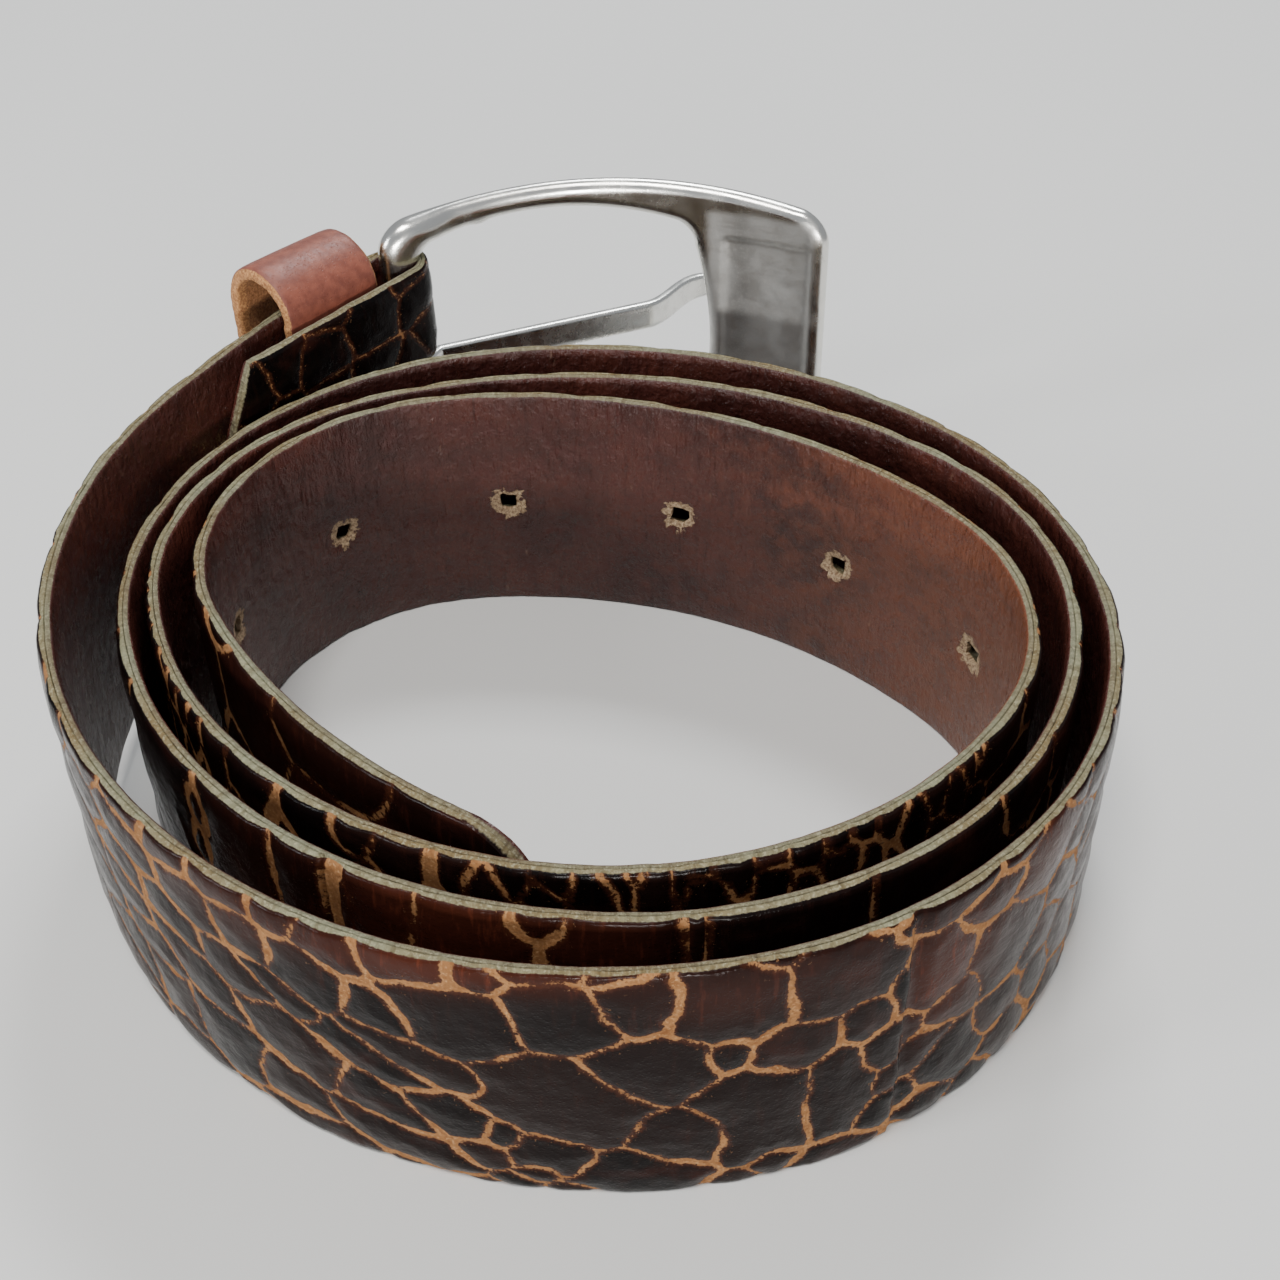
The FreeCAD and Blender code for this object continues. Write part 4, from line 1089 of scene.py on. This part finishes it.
def buckle():
    """The frame as a ring of sections round the window, seen flat and then bowed."""
    centre = np.array([21.0, BUCKLE_MIDDLE])
    outer_spots = rounded_loop(HEEL, FRAME_LENGTH, FRAME_LOW, FRAME_HIGH, RAIL_BULGE,
                               (3.9, 4.0, 4.0, 3.9))
    inner_spots = rounded_loop(WINDOW_LEFT, PLATE_INNER, WINDOW_LOW, WINDOW_HIGH, RAIL_BULGE,
                               (1.6, 3.0, 3.0, 1.6), sag=PLATE_SAG)
    # The heel bar is a little thicker where it joins the rails.
    leg = ease(41.5, 44.5, inner_spots[:, 1]) + ease(10.5, 7.5, inner_spots[:, 1])
    inner_spots[:, 0] += 0.9 * leg * ease(12.0, 3.0, inner_spots[:, 0])
    dense = np.linspace(-math.pi, math.pi, 4001)[:-1]
    probe = by_angle(outer_spots, centre, dense)
    run = np.concatenate([[0], np.cumsum(np.hypot(*np.diff(probe, axis=0).T))])
    count = 620
    angles = np.interp(np.linspace(0, run[-1], count, endpoint=False), run, dense)
    outer = by_angle(outer_spots, centre, angles)
    inner = by_angle(inner_spots, centre, angles)
    width = np.hypot(*(inner - outer).T)
    heel = ease(9.0, 3.0, (outer[:, 0] + inner[:, 0]) / 2)
    thick = FRAME_HALF_THICK + (BAR_RADIUS - FRAME_HALF_THICK) * heel
    corner = np.minimum(width / 2, 2.0 + 0.6 * heel)
    # A section's rows: share of the flat crossed, how far round the corner, and side.
    arc = np.linspace(0, math.pi / 2, 8)
    upper = [(0.0, 1 - math.cos(a), math.sin(a)) for a in arc]
    upper += [(share, 1.0, 1.0) for share in np.linspace(0, 1, 26)[1:-1]]
    upper += [(1.0, 1 - math.cos(a), math.sin(a)) for a in arc[::-1]]
    upper = np.array(upper)
    lower = upper[::-1][1:-1] * np.array([1, 1, -1])
    section = np.concatenate([upper, lower])
    flat_share, curl, side = (column[None, :] for column in section.T)
    width = width[:, None]
    corner = corner[:, None]
    depth = np.where(flat_share <= 0.0, corner * curl,
                     np.where(flat_share >= 1.0, width - corner * curl,
                              corner + flat_share * (width - 2 * corner)))
    share = depth / width
    spot = outer[:, None, :] * (1 - share[..., None]) + inner[:, None, :] * share[..., None]
    lift = thick[:, None] * side
    x = spot[..., 0]
    z = spot[..., 1]
    back = side < -0.99
    # The plate's back is recessed inside a thin raised rim.
    in_x = ease(47.6, 48.6, x) * ease(61.0, 60.0, x)
    in_z = ease(7.6, 8.6, z) * ease(44.4, 43.4, z)
    recess = np.where(back, in_x * in_z, 0.0)
    pitted = 0.10 * (layered(x / 2.2, z / 2.2, 91, 4) - 0.5) * recess
    lift = lift + RECESS_DEPTH * recess + pitted
    # A small casting mark stands on the inside of the upper rail, near the heel.
    nub = np.exp(-(((x - 12.0) / 1.3) ** 2 + ((z - 46.2) / 1.1) ** 2)) * (side < 0.2)
    z = z - 0.9 * nub
    cast = 0.05 * (layered(x / 6.0, z / 6.0 + lift, 95, 3) - 0.5)
    points = bow(x, z, lift + cast)
    # The plate's back is worn dull, with a line of painted shade beside the window and one by the
    # rim.
    on_plate = np.where(side < 0.3, ease(44.5, 46.5, x) * ease(61.6, 60.6, x), 0.0)
    on_plate = on_plate * ease(48.8, 47.2, z) * ease(3.2, 4.8, z)
    painted_shade = on_plate * (np.exp(-((x - 50.5) / 1.8) ** 2)
                       + 0.8 * np.exp(-((x - 60.2) / 0.5) ** 2)) * 0.55
    return make_mesh("buckle_frame_cast", points.reshape(-1, 3), ring_quads(count, len(section)),
                     {"worn": on_plate.ravel(), "painted_shade": painted_shade.ravel()})


buckle_piece = buckle()
buckle_piece.data.materials.append(buckle_finish)
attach(buckle_piece, "buckle")
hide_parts("buckle_frame")

# ---------------------------------------------------------------- prong

PRONG_WIDTH = 4.5
PRONG_THICK = 1.8
PRONG_LENGTH = 57.0
PRONG_JOG = 5.5
PRONG_OPEN = math.radians(22)
CURL_PLAY = 0.25
CURL_FROM = -332
CURL_TO = -95
SWEEP = 35
JOG_START = 39.0
JOG_END = 50.5
TIP_DROP = 0.6


def prong():
    """A flat strip with rounded sides: a curl round the heel bar, a jog and a tapered tip."""
    curl = BAR_RADIUS + CURL_PLAY + PRONG_THICK / 2
    spots = [(curl * math.cos(a), curl * math.sin(a))
             for a in np.radians(np.linspace(CURL_FROM, CURL_TO, 70))]
    # The curl's end sweeps smoothly into the strip.
    for share in np.linspace(0, 1, 14)[1:]:
        bend = share * share * (3 - 2 * share)
        angle = math.radians(CURL_TO + SWEEP * share)
        radius = curl + 1.9 * share ** 2
        near = np.array([radius * math.cos(angle), radius * math.sin(angle)])
        far = np.array([curl * 0.2 + 4.4 * share, -curl * (1 - bend)])
        spots.append(tuple(near * (1 - share) + far * share))
    for x in np.linspace(spots[-1][0], PRONG_LENGTH - 0.3, 120)[1:]:
        rise = PRONG_JOG * ease(JOG_START, JOG_END, x) - TIP_DROP * ease(51.0, PRONG_LENGTH, x)
        spots.append((x, rise))
    line = np.array(spots)
    step = np.gradient(line, axis=0)
    step = step / np.hypot(*step.T)[:, None]
    normal = np.stack([-step[:, 1], step[:, 0]], -1)
    count = len(line)
    run = np.concatenate([[0], np.cumsum(np.hypot(*np.diff(line, axis=0).T))])
    from_end = run[-1] - run
    thick = PRONG_THICK / 2 * (0.62 + 0.38 * ease(0.0, 8.0, from_end))
    thick = thick * np.sqrt(np.clip(from_end / 0.7, 0.02, 1))
    thick = thick * np.sqrt(np.clip(run / 0.6, 0.05, 1))
    width = PRONG_WIDTH / 2 * (0.80 + 0.20 * ease(0.0, 14.0, from_end))
    width = width * np.sqrt(np.clip(1 - (1 - np.clip(from_end / 1.6, 0, 1)) ** 2, 0.03, 1))
    around = np.linspace(0, 2 * math.pi, 40, endpoint=False)
    # A rounded rectangle section, as a superellipse.
    cos = np.sign(np.cos(around)) * np.abs(np.cos(around)) ** 0.45
    sin = np.sign(np.sin(around)) * np.abs(np.sin(around)) ** 0.62
    z = BUCKLE_MIDDLE + width[:, None] * cos[None, :]
    off = thick[:, None] * sin[None, :]
    x = line[:, 0:1] + normal[:, 0:1] * off
    y = line[:, 1:2] + normal[:, 1:2] * off
    wx = BAR[0] + x * math.cos(PRONG_OPEN) - y * math.sin(PRONG_OPEN)
    wy = BAR[1] + x * math.sin(PRONG_OPEN) + y * math.cos(PRONG_OPEN)
    cols = len(around)
    points = np.stack([wx, wy, z], -1).reshape(-1, 3)
    quads = [grid_quads(count, cols, wrap=True)]
    # Both ends are closed by quads round a middle point.
    middles = []
    for row, flip in ((0, False), (count - 1, True)):
        middles.append(points[row * cols:(row + 1) * cols].mean(0))
        hub = count * cols + len(middles) - 1
        ring = np.arange(cols) + row * cols
        pairs = [(ring[k], ring[(k + 1) % cols], ring[(k + 2) % cols], hub)
                 for k in range(0, cols, 2)]
        quads.append(np.array([q[::-1] if flip else q for q in pairs]))
    points = np.concatenate([points, np.array(middles)])
    return make_mesh("prong_strip_metal", points, np.concatenate(quads), {})


prong_piece = prong()
prong_piece.data.materials.append(prong_finish)
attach(prong_piece, "prong")
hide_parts("prong")

for node, finish in (("keeper_staple", staple_finish), ("binding_post", brass_finish),
                     ("binding_screw", brass_finish)):
    part = frame["nodes"][node]
    part.data.materials.clear()
    part.data.materials.append(finish)

# ---------------------------------------------------------------- floor, light and camera

bpy.ops.mesh.primitive_plane_add(size=6.0, location=(0, 0, 0))
floor = bpy.context.object
floor.name = "floor"
floor_finish = Maker("floor_paint").set(Base_Color=(0.62, 0.615, 0.60), Roughness=0.75)
floor.data.materials.append(floor_finish)

world = bpy.data.worlds.new("studio")
world.use_nodes = True
sky = world.node_tree.nodes["Background"]
sky.inputs["Color"].default_value = (0.80, 0.84, 0.90, 1)
sky.inputs["Strength"].default_value = 0.45
bpy.context.scene.world = world


def softbox(name, place, target, width, height, power, colour):
    """A rectangular light at a place, in metres, turned to a target."""
    light = bpy.data.lights.new(name, "AREA")
    light.shape = "RECTANGLE"
    light.size = width
    light.size_y = height
    light.energy = power
    light.color = colour
    holder = bpy.data.objects.new(name, light)
    bpy.context.scene.collection.objects.link(holder)
    holder.location = place
    ray = Vector(target) - Vector(place)
    holder.rotation_euler = ray.to_track_quat("-Z", "Y").to_euler()


softbox("window_light", (0.10, 0.55, 0.75), (0, 0, 0.02), 0.30, 0.18, 6.0, (0.95, 0.98, 1.0))
softbox("ceiling_light", (-0.12, -0.30, 0.95), (0, 0, 0.02), 0.36, 0.26, 9.0, (1.0, 0.98, 0.95))
softbox("side_light", (-0.75, -0.35, 0.40), (0, 0, 0.03), 0.14, 0.26, 3.0, (0.92, 0.96, 1.0))
softbox("front_light", (0.06, -0.80, 0.17), (0, 0, 0.03), 0.20, 0.06, 4.6, (1.0, 0.98, 0.95))

CAMERA_AT = (7.297, -180.276, 162.435)
CAMERA_DOWN = math.radians(39.69)
CAMERA_ROLL = math.radians(0.8)
SENSOR = 36.0
FOCAL = 49.06
camera = bpy.data.cameras.new("camera")
camera.sensor_width = SENSOR
camera.lens = FOCAL
camera.clip_start = 0.01
camera_holder = bpy.data.objects.new("camera", camera)
bpy.context.scene.collection.objects.link(camera_holder)
camera_holder.location = [v * MM for v in CAMERA_AT]
forward = np.array([0, math.cos(CAMERA_DOWN), -math.sin(CAMERA_DOWN)])
right = np.array([1.0, 0, 0])
up = np.cross(right, forward)
cam_x = right * math.cos(CAMERA_ROLL) - up * math.sin(CAMERA_ROLL)
cam_y = right * math.sin(CAMERA_ROLL) + up * math.cos(CAMERA_ROLL)
view_turn = np.stack([cam_x, cam_y, -forward], 1)
camera_holder.rotation_mode = "QUATERNION"
camera_holder.rotation_quaternion = Matrix(view_turn.tolist()).to_quaternion()
bpy.context.scene.camera = camera_holder
